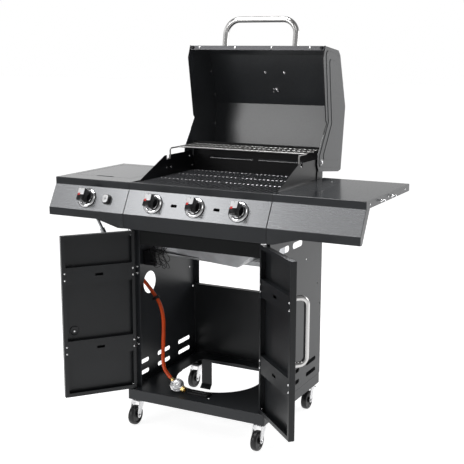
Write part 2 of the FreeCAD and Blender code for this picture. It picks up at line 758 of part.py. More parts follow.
def make_grates():
    """Cast grates: bars from front to back, tied by four deep cross bars just below their tops."""
    for node, start in (("grate_left", -282.0), ("grate_right", 3.0)):
        bars = []
        count, pitch = 16, (279.0 - 7.0) / 15
        for n in range(count):
            bars.append(box("grate_bar", (start + n * pitch, "grate_front", "grate_top - 10"),
                            (7, "236 - grate_front", 10)))
        for back in (-203, -34, 101, 227):
            bars.append(box("grate_cross", (start, back, "grate_top - 16"), (279, 8, 15)))
        keep(node, fuse(node, bars))


def make_warming_rack():
    """A wire rack whose front legs drop into the notches of the walls."""
    height = size("rack_height")
    front, rear, half = 106.0, 241.0, 278.0
    bars = [spot_cylinder("rack_wire", Vector(-half, back, height), Vector(1, 0, 0), 3, 2 * half)
            for back in (front, 174.0, rear - 5)]
    for n in range(27):
        across = -half + 6 + n * (2 * half - 12) / 26
        bars.append(spot_cylinder("rack_rod", Vector(across, front, height + 2), Vector(0, 1, 0), 2,
                                  rear - front - 5))
    for side in (-1, 1):
        leg = [Vector(side * (half - 2), front, height), Vector(side * (half - 2), 40, height),
               Vector(side * (half - 2), 40, 997.1), Vector(side * (half + 10), 40, 997.1)]
        bars.append(bent_tube("rack_leg", leg, [10, 4], 3))
    keep("warming_rack", fuse("warming_rack", bars))


# ---------------------------------------------------------------- lid

LID_SECTION = [("-220.6", "947.7"), ("-224.5", "1087.4"), ("-209.8", "1109.9"), ("-18.3", "1208.5"),
               ("234.7", "1211.5"), ("243.5", "1184.1")]
LID_LOWER = [("251.3", "978"), ("228", "960"), ("190", "957"), ("62.8", "1024.9"),
             ("54", "1012"), ("-171.7", "937")]


def open_lid():
    """The lid's own turn from closed to fully open, about its pivot."""
    pivot = point(0, "pivot_back", "pivot_height")
    return Placement(Vector(), Rotation(Vector(1, 0, 0), size("-lid_angle")), pivot)


def turned(solid, placement):
    doc.recompute()
    solid.Placement = placement.multiply(solid.Placement)
    return solid


def make_lid():
    inset = size("lid_half - lid_gauge - 0.2")
    section = [Vector(-inset, size("%s + 17" % LID_SECTION[0][0]), size(LID_SECTION[0][1]))]
    section += [Vector(-inset, size(back), size(up)) for back, up in LID_SECTION]
    shell = folded_sheet("lid_sheet", section, size("lid_gauge"), Vector(2 * inset, 0, 0))
    for node, start in (("lid_left_side", "-lid_half"), ("lid_right_side", "lid_half - lid_gauge")):
        panel = prism(node, "YZ", LID_SECTION + LID_LOWER, start, "lid_gauge",
                      [("pivot_back", "pivot_height", "5.05")])
        keep(node, turned(panel, open_lid()))
    half = size("lid_handle_half")
    back, out, up = -222.2, -328.0, 985.5
    bow = [Vector(-half, back, up), Vector(-half, out, up), Vector(half, out, up), Vector(half, back, up)]
    handle = bent_tube("lid_handle", bow, [58, 58], size("lid_handle_radius"))
    keep("lid_handle", turned(handle, open_lid()))
    normal = Vector(0, 1109.9 - 1208.5, 191.5).normalize()
    spot = Vector(0, -78, 1177.8)
    bore = spot_cylinder("dial_bore", spot - normal * 4, normal, 4.05, 8)
    keep("lid_shell", turned(cut("lid_shell", shell, [bore]), open_lid()))
    dial = spot_cylinder("dial", spot + normal * 0.1, normal, 32, 12)
    stem = spot_cylinder("dial_stem", spot - normal * 34, normal, 4, 40)
    nut = spot_cylinder("dial_nut", spot - normal * 8, normal, 9, 6)
    keep("lid_thermometer", turned(fuse("lid_thermometer", [dial, stem, nut]), open_lid()))


def make_hinge_brackets():
    """A black bracket each side, between the firebox wall and the lid's end panel."""
    brackets = []
    for side in (-1, 1):
        start = "-firebox_half - 3.6" if side < 0 else "firebox_half + 0.2"
        plate = prism("hinge_plate", "YZ",
                      [("182", "shelf_top + 2"), ("226", "shelf_top + 2"), ("234", "1004"),
                       ("222", "1014"), ("204", "1014"), ("192", "1004")], start, 3.4)
        outward = Vector(side, 0, 0)
        inner = point("%d * (firebox_half + 0.2)" % side, "pivot_back", "pivot_height")
        pin = spot_cylinder("hinge_pin", inner, outward, 5, 9)
        head = spot_cylinder("hinge_head", inner + outward * 6.2, outward, 8.5, 3)
        brackets.append(fuse("hinge", [plate, pin, head]))
    keep("lid_hinge_brackets", group("lid_hinge_brackets", brackets))


# ---------------------------------------------------------------- doors

def door_swing(side):
    angle = size("left_door_angle") if side < 0 else size("right_door_angle")
    pin = point("%d * pin_offset" % side, "pin_line", 0)
    return Placement(Vector(), Rotation(Vector(0, 0, 1), side * angle), pin)


def make_doors():
    for name, side in (("left", -1), ("right", 1)):
        swing = door_swing(side)
        hinge_edge = size("%d * (pin_offset + 14)" % side)
        low = hinge_edge if side < 0 else hinge_edge - size("door_width")
        front = "base_front"
        blank = box(name + "_door_blank", (low, front, "door_bottom"),
                    ("door_width", "door_depth", "door_top - door_bottom"))
        upright = along(Vector(0, 0, 1))
        face = size("base_front")
        rounded = round_edges(name + "_door_rounded", blank, 3,
                              lambda edge: upright(edge) or edge.BoundBox.YMax < face + 0.1)
        cavity = box(name + "_door_cavity", (low + 1.2, front + " + gauge", "door_bottom + gauge"),
                     ("door_width - 2.4", "door_depth - 2 * gauge", "door_top - door_bottom - 2.4"))
        window = box(name + "_door_window", (low + 14, front + " + 5", "door_bottom + door_lip"),
                     ("door_width - 28", "door_depth", "door_top - door_bottom - 2 * door_lip"))
        pin_hole = cylinder(name + "_door_pin_hole",
                            ("%d * pin_offset" % side, "pin_line", "door_bottom - 5"), "Z",
                            "pin_radius + running_gap", "door_top - door_bottom + 10")
        pan = cut(name + "_door_pan", rounded, [cavity, window, pin_hole])
        braces = [make_brace(name, low, up) for up in (325, 605)]
        keep(name + "_door", turned(group(name + "_door", [pan] + braces), swing))
        grip = size("%d * (pin_offset + 14 - door_width + 45)" % side)
        back, out = size("base_front - 0.1"), size("base_front - 56")
        bow = [Vector(grip, back, 392), Vector(grip, out, 392), Vector(grip, out, 622),
               Vector(grip, back, 622)]
        handle = bent_tube(name + "_door_handle", bow, [26, 26], 9.5)
        keep(name + "_door_handle", turned(handle, swing))


def make_brace(name, low, up):
    """A shallow channel across the inside of a door, with a slot in its middle."""
    outer = box(name + "_brace_outer", (low + 1.4, "base_front + gauge + 0.1", up - 33),
                ("door_width - 2.8", "door_depth - 2 * gauge - 0.4", 66))
    inner = box(name + "_brace_inner", (low - 5, "base_front - 5", up - 31.8),
                ("door_width + 10", "5 + door_depth - gauge - 1.4", 63.6))
    hole = box(name + "_brace_slot", (low + 125, "base_front", up - 5), (30, 30, 10))
    return cut(name + "_brace", outer, [inner, hole])


def make_door_pins():
    """Pins that the doors turn on, each on a small bracket from the tray or the front rail."""
    pins = []
    for side in (-1, 1):
        across = "%d * pin_offset" % side
        pins.append(cylinder("lower_pin", (across, "pin_line", "base_top"), "Z", "pin_radius", 20))
        pin = cylinder("upper_pin", (across, "pin_line", "door_top - 16"), "Z", "pin_radius", 24)
        bracket = box("upper_bracket", ("%s - 7" % across, "pin_line - 7", "door_top + 2"),
                      (14, 28.9, 4))
        pins.append(fuse("upper_hinge", [pin, bracket]))
    keep("door_hinge_pins", group("door_hinge_pins", pins))


# ---------------------------------------------------------------- casters

def make_casters():
    for name, side, line in (("front_left", -1, "front_swivel"), ("front_right", 1, "front_swivel"),
                             ("rear_left", -1, "rear_swivel"), ("rear_right", 1, "rear_swivel")):
        across, swivel = "%d * caster_offset" % side, size(line)
        axle_line = "%s - caster_trail" % line
        race = cylinder("race", (across, line, "base_bottom - 5"), "Z", 21, 4.7)
        stem = cylinder("stem", (across, line, "base_bottom - 2"), "Z", "stem_radius", 26)
        crown = box("crown", (across + " - 19", "%s - 17" % line, "base_bottom - 11"), (38, 36, 6.2))
        legs = []
        for shift in (-19, 16):
            legs.append(prism("leg", "YZ",
                              [("%s - caster_trail - 9" % line, "wheel_radius - 5"),
                               ("%s - caster_trail + 9" % line, "wheel_radius - 5"),
                               ("%s + 19" % line, "base_bottom - 11"),
                               ("%s + 19" % line, "base_bottom - 6"),
                               ("%s - 17" % line, "base_bottom - 6")],
                              "%s + (%d)" % (across, shift), 3))
            legs.append(cylinder("leg_end", ("%s + (%d)" % (across, shift), axle_line,
                                             "wheel_radius"), "X", 9.5, 3))
        axle = cylinder("axle", (across + " - 22", axle_line, "wheel_radius"), "X", "axle_radius", 44)
        keep("fork_" + name, fuse("fork_" + name, [race, stem, crown, axle] + legs))
        tyre = cylinder("tyre", (across + " - wheel_width / 2", axle_line, "wheel_radius"), "X",
                        "wheel_radius", "wheel_width")
        tyre_round = round_edges("tyre_round", tyre, 5, lambda edge: len(edge.Vertexes) == 1)
        hub = cylinder("hub", (across + " - 15", axle_line, "wheel_radius"), "X", 11, 30)
        bore = cylinder("bore", (across + " - 20", axle_line, "wheel_radius"), "X",
                        "axle_radius + running_gap", 40)
        keep("wheel_" + name, cut("wheel_" + name, fuse("wheel_blank", [tyre_round, hub]), [bore]))
        if name.startswith("rear"):
            make_brake_pedal(name, across, swivel)


def make_brake_pedal(name, across, swivel):
    """A foot pedal on a cross pin of the fork, behind the swivel and clear of the wheel."""
    pivot = Vector(0, swivel + 12, 82)
    arm = prism("pedal_arm", "YZ", [(pivot.y - 3, 79), (pivot.y + 34, 71), (pivot.y + 34, 74),
                                    (pivot.y + 4, 85), (pivot.y - 3, 85)], across + " - 12", 24)
    barrel = cylinder("pedal_barrel", (across + " - 15.8", pivot.y, pivot.z), "X", 4, 31.6)
    keep("brake_pedal_" + name, fuse("brake_pedal_" + name, [arm, barrel]))


# ---------------------------------------------------------------- the whole grill

def check(document):
    document.recompute()
    faults = [o.Name for o in document.Objects if "Invalid" in o.State or "Error" in o.State]
    for node, solid in parts.items():
        if solid.Shape.isNull() or not solid.Shape.isValid() or not solid.Shape.Solids:
            faults.append(node)
    if faults:
        raise RuntimeError("faulty objects: %s" % faults)


def main():
    make_base()
    make_bottle_fittings()
    make_side_panels()
    make_cross_members()
    make_console()
    make_left_shelf()
    make_side_burner()
    make_right_shelf()
    make_controls()
    make_gas_train()
    make_hose()
    make_ignition_module()
    make_firebox()
    make_grease_tray()
    make_burners()
    make_emitters()
    make_grates()
    make_warming_rack()
    make_lid()
    make_hinge_brackets()
    make_doors()
    make_door_pins()
    make_casters()
    check(doc)
    os.makedirs("parts", exist_ok=True)
    for node, solid in parts.items():
        solid.Shape.exportStep("parts/%s.step" % node)
    print("%d sub-parts" % len(parts))


main()
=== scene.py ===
"""The looks of the gas barbecue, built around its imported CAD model. Lengths are in metres."""
import bmesh
import bpy
import math
from mathutils import Matrix, Quaternion, Vector


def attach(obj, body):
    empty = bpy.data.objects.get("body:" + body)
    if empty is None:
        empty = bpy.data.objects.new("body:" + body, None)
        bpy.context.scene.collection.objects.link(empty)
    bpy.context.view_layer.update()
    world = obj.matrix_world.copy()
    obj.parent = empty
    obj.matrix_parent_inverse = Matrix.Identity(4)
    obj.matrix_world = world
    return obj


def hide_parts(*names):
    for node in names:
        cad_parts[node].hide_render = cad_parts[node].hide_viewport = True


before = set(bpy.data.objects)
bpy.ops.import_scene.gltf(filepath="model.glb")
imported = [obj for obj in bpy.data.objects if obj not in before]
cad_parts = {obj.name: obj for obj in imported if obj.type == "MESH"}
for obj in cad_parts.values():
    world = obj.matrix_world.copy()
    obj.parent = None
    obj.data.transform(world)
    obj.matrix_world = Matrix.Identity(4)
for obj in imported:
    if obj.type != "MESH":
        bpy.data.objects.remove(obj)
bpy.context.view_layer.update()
MM = 0.001


def mm(*numbers):
    """A point or a length given in millimetres, in metres."""
    return Vector(numbers) * MM if len(numbers) > 1 else numbers[0] * MM


# ---------------------------------------------------------------- camera

CAMERA_ANGLES = (27.522, 11.243, 0.132)
CAMERA_PLACE = (1.6558, -3.1389, 1.4396)
CAMERA_LENS = 73.262


def make_camera():
    """Turn, height and roll in degrees; the lens in millimetres on a 36 mm sensor."""
    azimuth, elevation, roll = (math.radians(angle) for angle in CAMERA_ANGLES)
    back = Vector((math.sin(azimuth) * math.cos(elevation),
                   -math.cos(azimuth) * math.cos(elevation), math.sin(elevation)))
    data = bpy.data.cameras.new("camera")
    data.sensor_width = 36.0
    data.lens = CAMERA_LENS
    data.clip_end = 60.0
    camera = bpy.data.objects.new("camera", data)
    bpy.context.collection.objects.link(camera)
    camera.location = CAMERA_PLACE
    camera.rotation_mode = "QUATERNION"
    camera.rotation_quaternion = (-back).to_track_quat("-Z", "Y") @ Quaternion((0, 0, 1), roll)
    bpy.context.scene.camera = camera


make_camera()


# ---------------------------------------------------------------- materials

def material(name, colour, roughness, metallic=0.0, variation=0.12, patches=6.0, grain=900.0,
             bump=0.08, stretch=(1, 1, 1), gloss=0.08, specular=0.5):
    """A surface whose colour drifts over patches and whose fine grain roughens and bumps it."""
    made = bpy.data.materials.new(name)
    made.use_nodes = True
    nodes, links = made.node_tree.nodes, made.node_tree.links
    shader = nodes["Principled BSDF"]
    shader.inputs["Metallic"].default_value = metallic
    shader.inputs["Specular IOR Level"].default_value = specular
    place = nodes.new("ShaderNodeTexCoord")
    mapping = nodes.new("ShaderNodeMapping")
    mapping.inputs["Scale"].default_value = stretch
    links.new(place.outputs["Object"], mapping.inputs["Vector"])
    broad = nodes.new("ShaderNodeTexNoise")
    broad.inputs["Scale"].default_value = patches
    broad.inputs["Detail"].default_value = 4.0
    fine = nodes.new("ShaderNodeTexNoise")
    fine.inputs["Scale"].default_value = grain
    fine.inputs["Detail"].default_value = 3.0
    links.new(mapping.outputs["Vector"], broad.inputs["Vector"])
    links.new(mapping.outputs["Vector"], fine.inputs["Vector"])
    ramp = nodes.new("ShaderNodeValToRGB")
    for stop, place_on, factor in zip(ramp.color_ramp.elements, (0.35, 0.65),
                                      (1 - variation, 1 + variation)):
        stop.position = place_on
        stop.color = [min(channel * factor, 1.0) for channel in colour] + [1.0]
    links.new(broad.outputs["Fac"], ramp.inputs["Fac"])
    links.new(ramp.outputs["Color"], shader.inputs["Base Color"])
    spread = nodes.new("ShaderNodeMapRange")
    spread.inputs["To Min"].default_value = max(roughness - gloss, 0.02)
    spread.inputs["To Max"].default_value = min(roughness + gloss, 1.0)
    links.new(fine.outputs["Fac"], spread.inputs["Value"])
    links.new(spread.outputs["Result"], shader.inputs["Roughness"])
    relief = nodes.new("ShaderNodeBump")
    relief.inputs["Strength"].default_value = bump
    relief.inputs["Distance"].default_value = 0.0004
    links.new(fine.outputs["Fac"], relief.inputs["Height"])
    links.new(relief.outputs["Normal"], shader.inputs["Normal"])
    return made


def add_ramp(nodes, stops):
    """A colour ramp of grey stops: (place, tone) pairs."""
    ramp = nodes.new("ShaderNodeValToRGB")
    while len(ramp.color_ramp.elements) < len(stops):
        ramp.color_ramp.elements.new(0.5)
    for stop, (spot, tone) in zip(ramp.color_ramp.elements, stops):
        stop.position = spot
        stop.color = (tone, tone, tone, 1.0)
    return ramp


def along_axis(made, axis, low, high):
    """A 0 to 1 factor along one object axis, between two heights or widths in metres."""
    nodes, links = made.node_tree.nodes, made.node_tree.links
    place = nodes.new("ShaderNodeTexCoord")
    split = nodes.new("ShaderNodeSeparateXYZ")
    spread = nodes.new("ShaderNodeMapRange")
    spread.inputs["From Min"].default_value = low
    spread.inputs["From Max"].default_value = high
    links.new(place.outputs["Object"], split.inputs["Vector"])
    links.new(split.outputs[axis], spread.inputs["Value"])
    return spread.outputs["Result"]


def firebox_sheet():
    """Bare galvanised below the cooking box, black enamel inside it."""
    made = material("firebox_sheet", (0.52, 0.53, 0.55), 0.36, variation=0.10, patches=20.0,
                    grain=300.0, bump=0.03, specular=0.15)
    nodes, links = made.node_tree.nodes, made.node_tree.links
    height = along_axis(made, "Z", 0.775, 0.785)
    shade = nodes.new("ShaderNodeMix")
    shade.data_type = "RGBA"
    shade.inputs["B"].default_value = (0.005, 0.005, 0.0055, 1.0)
    shader = nodes["Principled BSDF"]
    links.new(height, shade.inputs["Factor"])
    links.new(shader.inputs["Base Color"].links[0].from_socket, shade.inputs["A"])
    links.new(shade.outputs["Result"], shader.inputs["Base Color"])
    shine = add_ramp(nodes, [(0.0, 0.7), (1.0, 0.0)])
    links.new(height, shine.inputs["Fac"])
    links.new(shine.outputs["Color"], shader.inputs["Metallic"])
    return made


CHARCOAL = material("charcoal_powder_coat", (0.016, 0.0175, 0.020), 0.36, bump=0.10, gloss=0.05,
                    specular=0.32)
SHELF = material("shelf_powder_coat", (0.017, 0.019, 0.022), 0.20, bump=0.04, gloss=0.04,
                 specular=0.5)
DOOR = material("door_powder_coat", (0.010, 0.011, 0.0125), 0.36, bump=0.10, gloss=0.05,
                specular=0.3)
ENAMEL = material("lid_enamel", (0.026, 0.028, 0.031), 0.28, bump=0.03, gloss=0.04, specular=0.5)
INNER = material("firebox_enamel", (0.006, 0.006, 0.007), 0.30, bump=0.05, specular=0.3)
# The front rail's coat is the fascia's paint made darker and duller: painted shade for the shadow
# under the console.
SHADED = material("rail_painted_shade", (0.005, 0.0055, 0.006), 0.5, bump=0.10, specular=0.12)
STEEL = material("brushed_steel", (0.62, 0.63, 0.65), 0.27, metallic=1.0, variation=0.015,
                 patches=3.0, grain=1100.0, bump=0.002, stretch=(0.02, 1, 1), gloss=0.012)
TUBE = material("satin_tube_steel", (0.56, 0.555, 0.55), 0.18, metallic=1.0, variation=0.05,
                grain=500.0, bump=0.04, stretch=(0.1, 1, 1), gloss=0.05)
RIM = material("satin_rim_steel", (0.10, 0.10, 0.105), 0.34, metallic=1.0, variation=0.06,
               grain=500.0, bump=0.04, stretch=(0.1, 1, 1), gloss=0.05)
CHROME = material("bright_chrome", (0.78, 0.78, 0.79), 0.12, metallic=1.0, variation=0.03,
                  bump=0.01, gloss=0.03)
ZINC = material("zinc_plate", (0.70, 0.70, 0.71), 0.24, metallic=1.0, variation=0.12, patches=60.0,
                bump=0.06)
GALVANISED = material("galvanised_sheet", (0.40, 0.41, 0.42), 0.38, metallic=0.85, variation=0.12,
                      patches=25.0, grain=300.0, bump=0.03)
FIREBOX = firebox_sheet()
IRON = material("cast_iron_enamel", (0.055, 0.056, 0.060), 0.26, variation=0.15, patches=40.0,
                grain=600.0, bump=0.12, gloss=0.06, specular=0.6)
# The cross bars' look: a lighter, part-metallic copy of the cast iron, painted glint along their
# tops.
GLINT = material("cross_bars_painted_glint", (0.42, 0.42, 0.43), 0.26, metallic=0.4, variation=0.15,
                 patches=60.0, bump=0.08)
WIRE = material("rack_wire", (0.30, 0.295, 0.29), 0.34, metallic=0.6, variation=0.1, patches=50.0)
BURNER = material("burner_steel", (0.30, 0.29, 0.28), 0.42, metallic=0.9, variation=0.2,
                  patches=30.0)
BRASS = material("machined_brass", (0.70, 0.50, 0.20), 0.26, metallic=1.0, variation=0.1,
                 patches=60.0)
ALLOY = material("cast_regulator_alloy", (0.66, 0.66, 0.67), 0.34, metallic=1.0, variation=0.08,
                 patches=80.0, bump=0.2)
PLASTIC = material("grained_black_plastic", (0.007, 0.007, 0.008), 0.40, bump=0.25, gloss=0.06,
                   specular=0.3)
KNOB = material("knob_plastic", (0.006, 0.006, 0.007), 0.24, bump=0.05, gloss=0.05, specular=0.4)
POINTER = material("silver_inlay", (0.66, 0.66, 0.67), 0.30, metallic=0.3, variation=0.04,
                   bump=0.03)
RED = material("red_mark", (0.50, 0.018, 0.014), 0.35, variation=0.08, bump=0.03)
PRINT = material("printed_marks", (0.03, 0.03, 0.03), 0.5, variation=0.1, bump=0.02)
HOSE = material("hose_rubber", (0.52, 0.052, 0.004), 0.30, variation=0.12, patches=30.0, bump=0.08,
                specular=0.35)
TYRE = material("black_wheel", (0.009, 0.009, 0.010), 0.36, variation=0.2, patches=30.0, bump=0.12,
                specular=0.35)
DIAL = material("dial_face", (0.72, 0.72, 0.70), 0.4, variation=0.03, bump=0.01)


# ---------------------------------------------------------------- mesh building

def axes_at(spot, normal, up=Vector((0, 0, 1))):
    """A place whose Z runs along a normal and whose Y leans towards up."""
    z = Vector(normal).normalized()
    y = up - z * up.dot(z)
    if y.length < 1e-3:
        y = Vector((0, 1, 0)) - z * z.y
    y.normalize()
    x = y.cross(z)
    place = Matrix((x, y, z)).transposed().to_4x4()
    place.translation = spot
    return place


class Piece:
    """One mesh, gathered from turned, swept and cut-out shapes."""

    def __init__(self):
        self.mesh = bmesh.new()

    def lathe(self, profile, place, steps=32):
        """Turn (radius, height) points round the place's Z. A radius of 0 closes an end."""
        rings = []
        for radius, height in profile:
            if radius < 1e-7:
                rings.append([self.mesh.verts.new(place @ Vector((0, 0, height)))])
                continue
            ring = []
            for n in range(steps):
                turn = 2 * math.pi * n / steps
                ring.append(self.mesh.verts.new(place @ Vector(
                    (radius * math.cos(turn), radius * math.sin(turn), height))))
            rings.append(ring)
        self.skin(rings)

    def skin(self, rings):
        """Faces between rings that follow one another; a ring of one point is a tip."""
        for low, high in zip(rings, rings[1:]):
            count = max(len(low), len(high))
            for n in range(count):
                m = (n + 1) % count
                corners = [low[n % len(low)], low[m % len(low)], high[m % len(high)],
                           high[n % len(high)]]
                self.mesh.faces.new(list(dict.fromkeys(corners)))

    def sweep(self, path, radius, steps=16):
        """A round bar along points, closed at both ends."""
        side = None
        rings = [[self.mesh.verts.new(path[0])]]
        for n, spot in enumerate(path):
            ahead = (path[min(n + 1, len(path) - 1)] - path[max(n - 1, 0)]).normalized()
            if side is None:
                side = ahead.orthogonal().normalized()
            side = (side - ahead * side.dot(ahead)).normalized()
            over = ahead.cross(side)
            rings.append([self.mesh.verts.new(
                spot + side * radius * math.cos(2 * math.pi * k / steps)
                + over * radius * math.sin(2 * math.pi * k / steps)) for k in range(steps)])
        rings.append([self.mesh.verts.new(path[-1])])
        self.skin(rings)

    def slab(self, outline, low, high, place, bevel=0.0):
        """An outline in the place's X and Y, from one height to another, with rounded edges."""
        bottom = [self.mesh.verts.new(place @ Vector((x, y, low))) for x, y in outline]
        top = [self.mesh.verts.new(place @ Vector((x, y, high))) for x, y in outline]
        count = len(outline)
        faces = [self.mesh.faces.new(bottom[::-1]), self.mesh.faces.new(top)]
        for n in range(count):
            m = (n + 1) % count
            faces.append(self.mesh.faces.new([bottom[n], bottom[m], top[m], top[n]]))
        if bevel:
            rims = dict.fromkeys(edge for face in faces[:2] for edge in face.edges)
            bmesh.ops.bevel(self.mesh, geom=list(rims), offset=bevel, segments=2,
                            affect="EDGES", profile=0.5)

    def stack(self, levels, place):
        """Join (outline, height) levels with the same count of points, closed at both ends."""
        rings = [[self.mesh.verts.new(place @ Vector((x, y, height))) for x, y in outline]
                 for outline, height in levels]
        self.skin(rings)
        self.mesh.faces.new(rings[0][::-1])
        self.mesh.faces.new(rings[-1])

    def done(self, name, body, look, replaces=(), sharp=32.0):
        """Finish the mesh as an object that rides on a body."""
        bmesh.ops.recalc_face_normals(self.mesh, faces=self.mesh.faces)
        limit = math.radians(sharp)
        for edge in self.mesh.edges:
            edge.smooth = len(edge.link_faces) == 2 and edge.calc_face_angle(0.0) < limit
        for face in self.mesh.faces:
            face.smooth = True
        data = bpy.data.meshes.new(name)
        self.mesh.to_mesh(data)
        self.mesh.free()
        data.materials.append(look)
        made = bpy.data.objects.new(name, data)
        bpy.context.collection.objects.link(made)
        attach(made, body)
        if replaces:
            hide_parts(*replaces)
        return made


FRONTWARD = Vector((0, -1, 0))


def rectangle(half_x, half_y):
    return [(-half_x, -half_y), (half_x, -half_y), (half_x, half_y), (-half_x, half_y)]


def bar_path(corners, radius, steps=10):
    """Points along straight runs with a round bend at each inner corner."""
    path = [corners[0]]
    for before, corner, after in zip(corners, corners[1:], corners[2:]):
        back, ahead = (before - corner).normalized(), (after - corner).normalized()
        half = (math.pi - back.angle(ahead)) / 2
        reach = radius * math.tan(half)
        middle = corner + (back + ahead).normalized() * radius / math.cos(half)
        first, last = corner + back * reach - middle, corner + ahead * reach - middle
        for n in range(steps + 1):
            path.append(middle + first.slerp(last, n / steps).normalized() * radius)
    path.append(corners[-1])
    return path


def rounded_outline(half_x, half_y, radius, steps=6, centre=(0.0, 0.0)):
    """A rectangle's outline with round corners."""
    outline = []
    for quarter in range(4):
        sign_x = 1 if quarter in (0, 3) else -1
        sign_y = 1 if quarter < 2 else -1
        for n in range(steps + 1):
            turn = math.pi / 2 * (quarter + n / steps)
            outline.append((centre[0] + sign_x * (half_x - radius) + radius * math.cos(turn),
                            centre[1] + sign_y * (half_y - radius) + radius * math.sin(turn)))
    return outline


SCREW_HEAD = ((0, 0.28), (0.28, 0.30), (0.34, 0.62), (0.62, 0.56), (0.90, 0.34), (1.0, 0.05),
              (1.0, -0.1))


def screw(piece, spot, normal, radius=0.0042):
    """A pan head with a recess."""
    piece.lathe([(across * radius, up * radius) for across, up in SCREW_HEAD],
                axes_at(spot, normal), 16)


# ---------------------------------------------------------------- the lid's own turn

def turned_about(point, degrees, axis):
    """A turn by some degrees about a point."""
    return Matrix.Translation(point) @ Matrix.Rotation(math.radians(degrees), 4, axis) \
        @ Matrix.Translation(-point)


LID_PIVOT = (215.2, 996.5)
LID_TURN = turned_about(mm(0, *LID_PIVOT), -98.7, "X")


def lid_point(x, y, z):
    """Where a point of the closed lid, in millimetres, is when the lid is open."""
    return LID_TURN @ mm(x, y, z)


def lid_normal(y, z):
    """Where a direction of the closed lid points when the lid is open."""
    return (LID_TURN.to_3x3() @ Vector((0, y, z))).normalized()


# ---------------------------------------------------------------- the hose

HOSE_ROUTE = [(-473, -140, 709), (-455, -140, 676), (-427, -137, 645), (-366, -133, 590),
              (-303, -129, 541), (-258, -130, 496), (-221, -137, 456), (-203, -145, 412),
              (-195, -155, 363), (-192, -165, 312), (-187, -176, 266), (-179, -188, 232),
              (-161, -199, 207), (-133, -206, 189)]


def cord_curve(name, route, radius, look, body):
    """A smooth round cord on one spline."""
    data = bpy.data.curves.new(name, "CURVE")
    data.dimensions = "3D"
    data.resolution_u = 10
    data.bevel_depth = radius
    data.bevel_resolution = 8
    data.use_fill_caps = True
    spline = data.splines.new("NURBS")
    spline.points.add(len(route) - 1)
    for point, spot in zip(spline.points, route):
        point.co = (*mm(*spot), 1.0)
    spline.order_u = 3
    spline.use_endpoint_u = True
    data.materials.append(look)
    made = bpy.data.objects.new(name, data)
    bpy.context.collection.objects.link(made)
    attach(made, body)
    return made


def centreline(curve):
    """The points of a cord's own spline."""
    thin = curve.data.copy()
    thin.bevel_depth = 0.0
    stand_in = bpy.data.objects.new("line", thin)
    bpy.context.collection.objects.link(stand_in)
    mesh = bpy.data.meshes.new_from_object(stand_in)
    points = [vertex.co.copy() for vertex in mesh.vertices]
    bpy.data.objects.remove(stand_in)
    bpy.data.meshes.remove(mesh)
    return points


def make_hose():
    """The hose as a free cord, its clip, and the regulator with its barb and union nut."""
    hose = cord_curve("gas_hose_visual", HOSE_ROUTE, 0.00725, HOSE, "cart")
    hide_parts("gas_hose")
    line = centreline(hose)
    spot = min(line, key=lambda p: (p - mm(-240, -134, 476)).length)
    n = line.index(spot)
    ahead = (line[n + 1] - line[n - 1]).normalized()
    clip = Piece()
    r = 0.0073
    clip.lathe([(r, -0.006), (r + 0.0035, -0.006), (r + 0.0042, -0.005), (r + 0.0042, 0.005),
                (r + 0.0035, 0.006), (r, 0.006), (r, -0.006)], axes_at(spot, ahead))
    clip.slab(rounded_outline(0.004, 0.005, 0.0015), 0.008, 0.020,
              axes_at(spot, ahead.cross(Vector((0, 0, 1)))), 0.0008)
    clip = clip.done("hose_clip", "cart", PLASTIC)
    end = mm(*HOSE_ROUTE[-1])
    heading = (end - mm(*HOSE_ROUTE[-2])).normalized()
    face = Vector((0.30, -0.62, 0.72))
    face = (face - heading * face.dot(heading)).normalized()
    outlet = Vector((0.93, -0.13, -0.34)).normalized()
    centre = end + heading * 0.038
    body = Piece()
    disc = axes_at(centre, face)
    body.lathe([(0, 0.0125), (0.006, 0.013), (0.0065, 0.0112), (0.0150, 0.0112), (0.0180, 0.0100),
                (0.0205, 0.0070), (0.0215, 0.0040), (0.0255, 0.0034), (0.0270, 0.0022),
                (0.0270, -0.0022), (0.0255, -0.0034), (0.0190, -0.0036), (0.0185, -0.0095),
                (0.0165, -0.0118), (0, -0.0118)], disc, 48)
    for n in range(24):
        turn = 2 * math.pi * n / 24
        rim = disc @ Vector((0.0262 * math.cos(turn), 0.0262 * math.sin(turn), 0.0031))
        body.lathe([(0, 0.0008), (0.0012, 0.0004), (0.0014, -0.001), (0, -0.001)],
                   axes_at(rim, face), 8)
    body.lathe([(0, 0), (0.0078, 0), (0.0078, 0.022), (0.0090, 0.023), (0.0090, 0.026), (0, 0.026)],
               axes_at(centre, outlet))
    body = body.done("regulator_body", "cart", ALLOY, ["regulator"])
    neck = axes_at(end, heading)
    barb = Piece()
    barb.lathe([(0, 0), (0.0060, 0), (0.0068, 0.003), (0.0060, 0.004), (0.0068, 0.007),
                (0.0085, 0.008), (0.0085, 0.014), (0.0060, 0.016), (0, 0.016)], neck)
    barb = barb.done("hose_barb", "cart", BRASS)
    nut = Piece()
    flats = [(0.0128 * math.cos(math.pi / 3 * n), 0.0128 * math.sin(math.pi / 3 * n))
             for n in range(6)]
    nut.slab(flats, 0.024, 0.034, axes_at(centre, outlet), 0.0012)
    nut.lathe([(0.0115, 0.033), (0.0115, 0.038), (0.0100, 0.0395), (0.0065, 0.0395),
               (0.0065, 0.034), (0, 0.034)], axes_at(centre, outlet))
    nut = nut.done("union_nut", "cart", BRASS)


make_hose()


# ---------------------------------------------------------------- materials on the CAD nodes

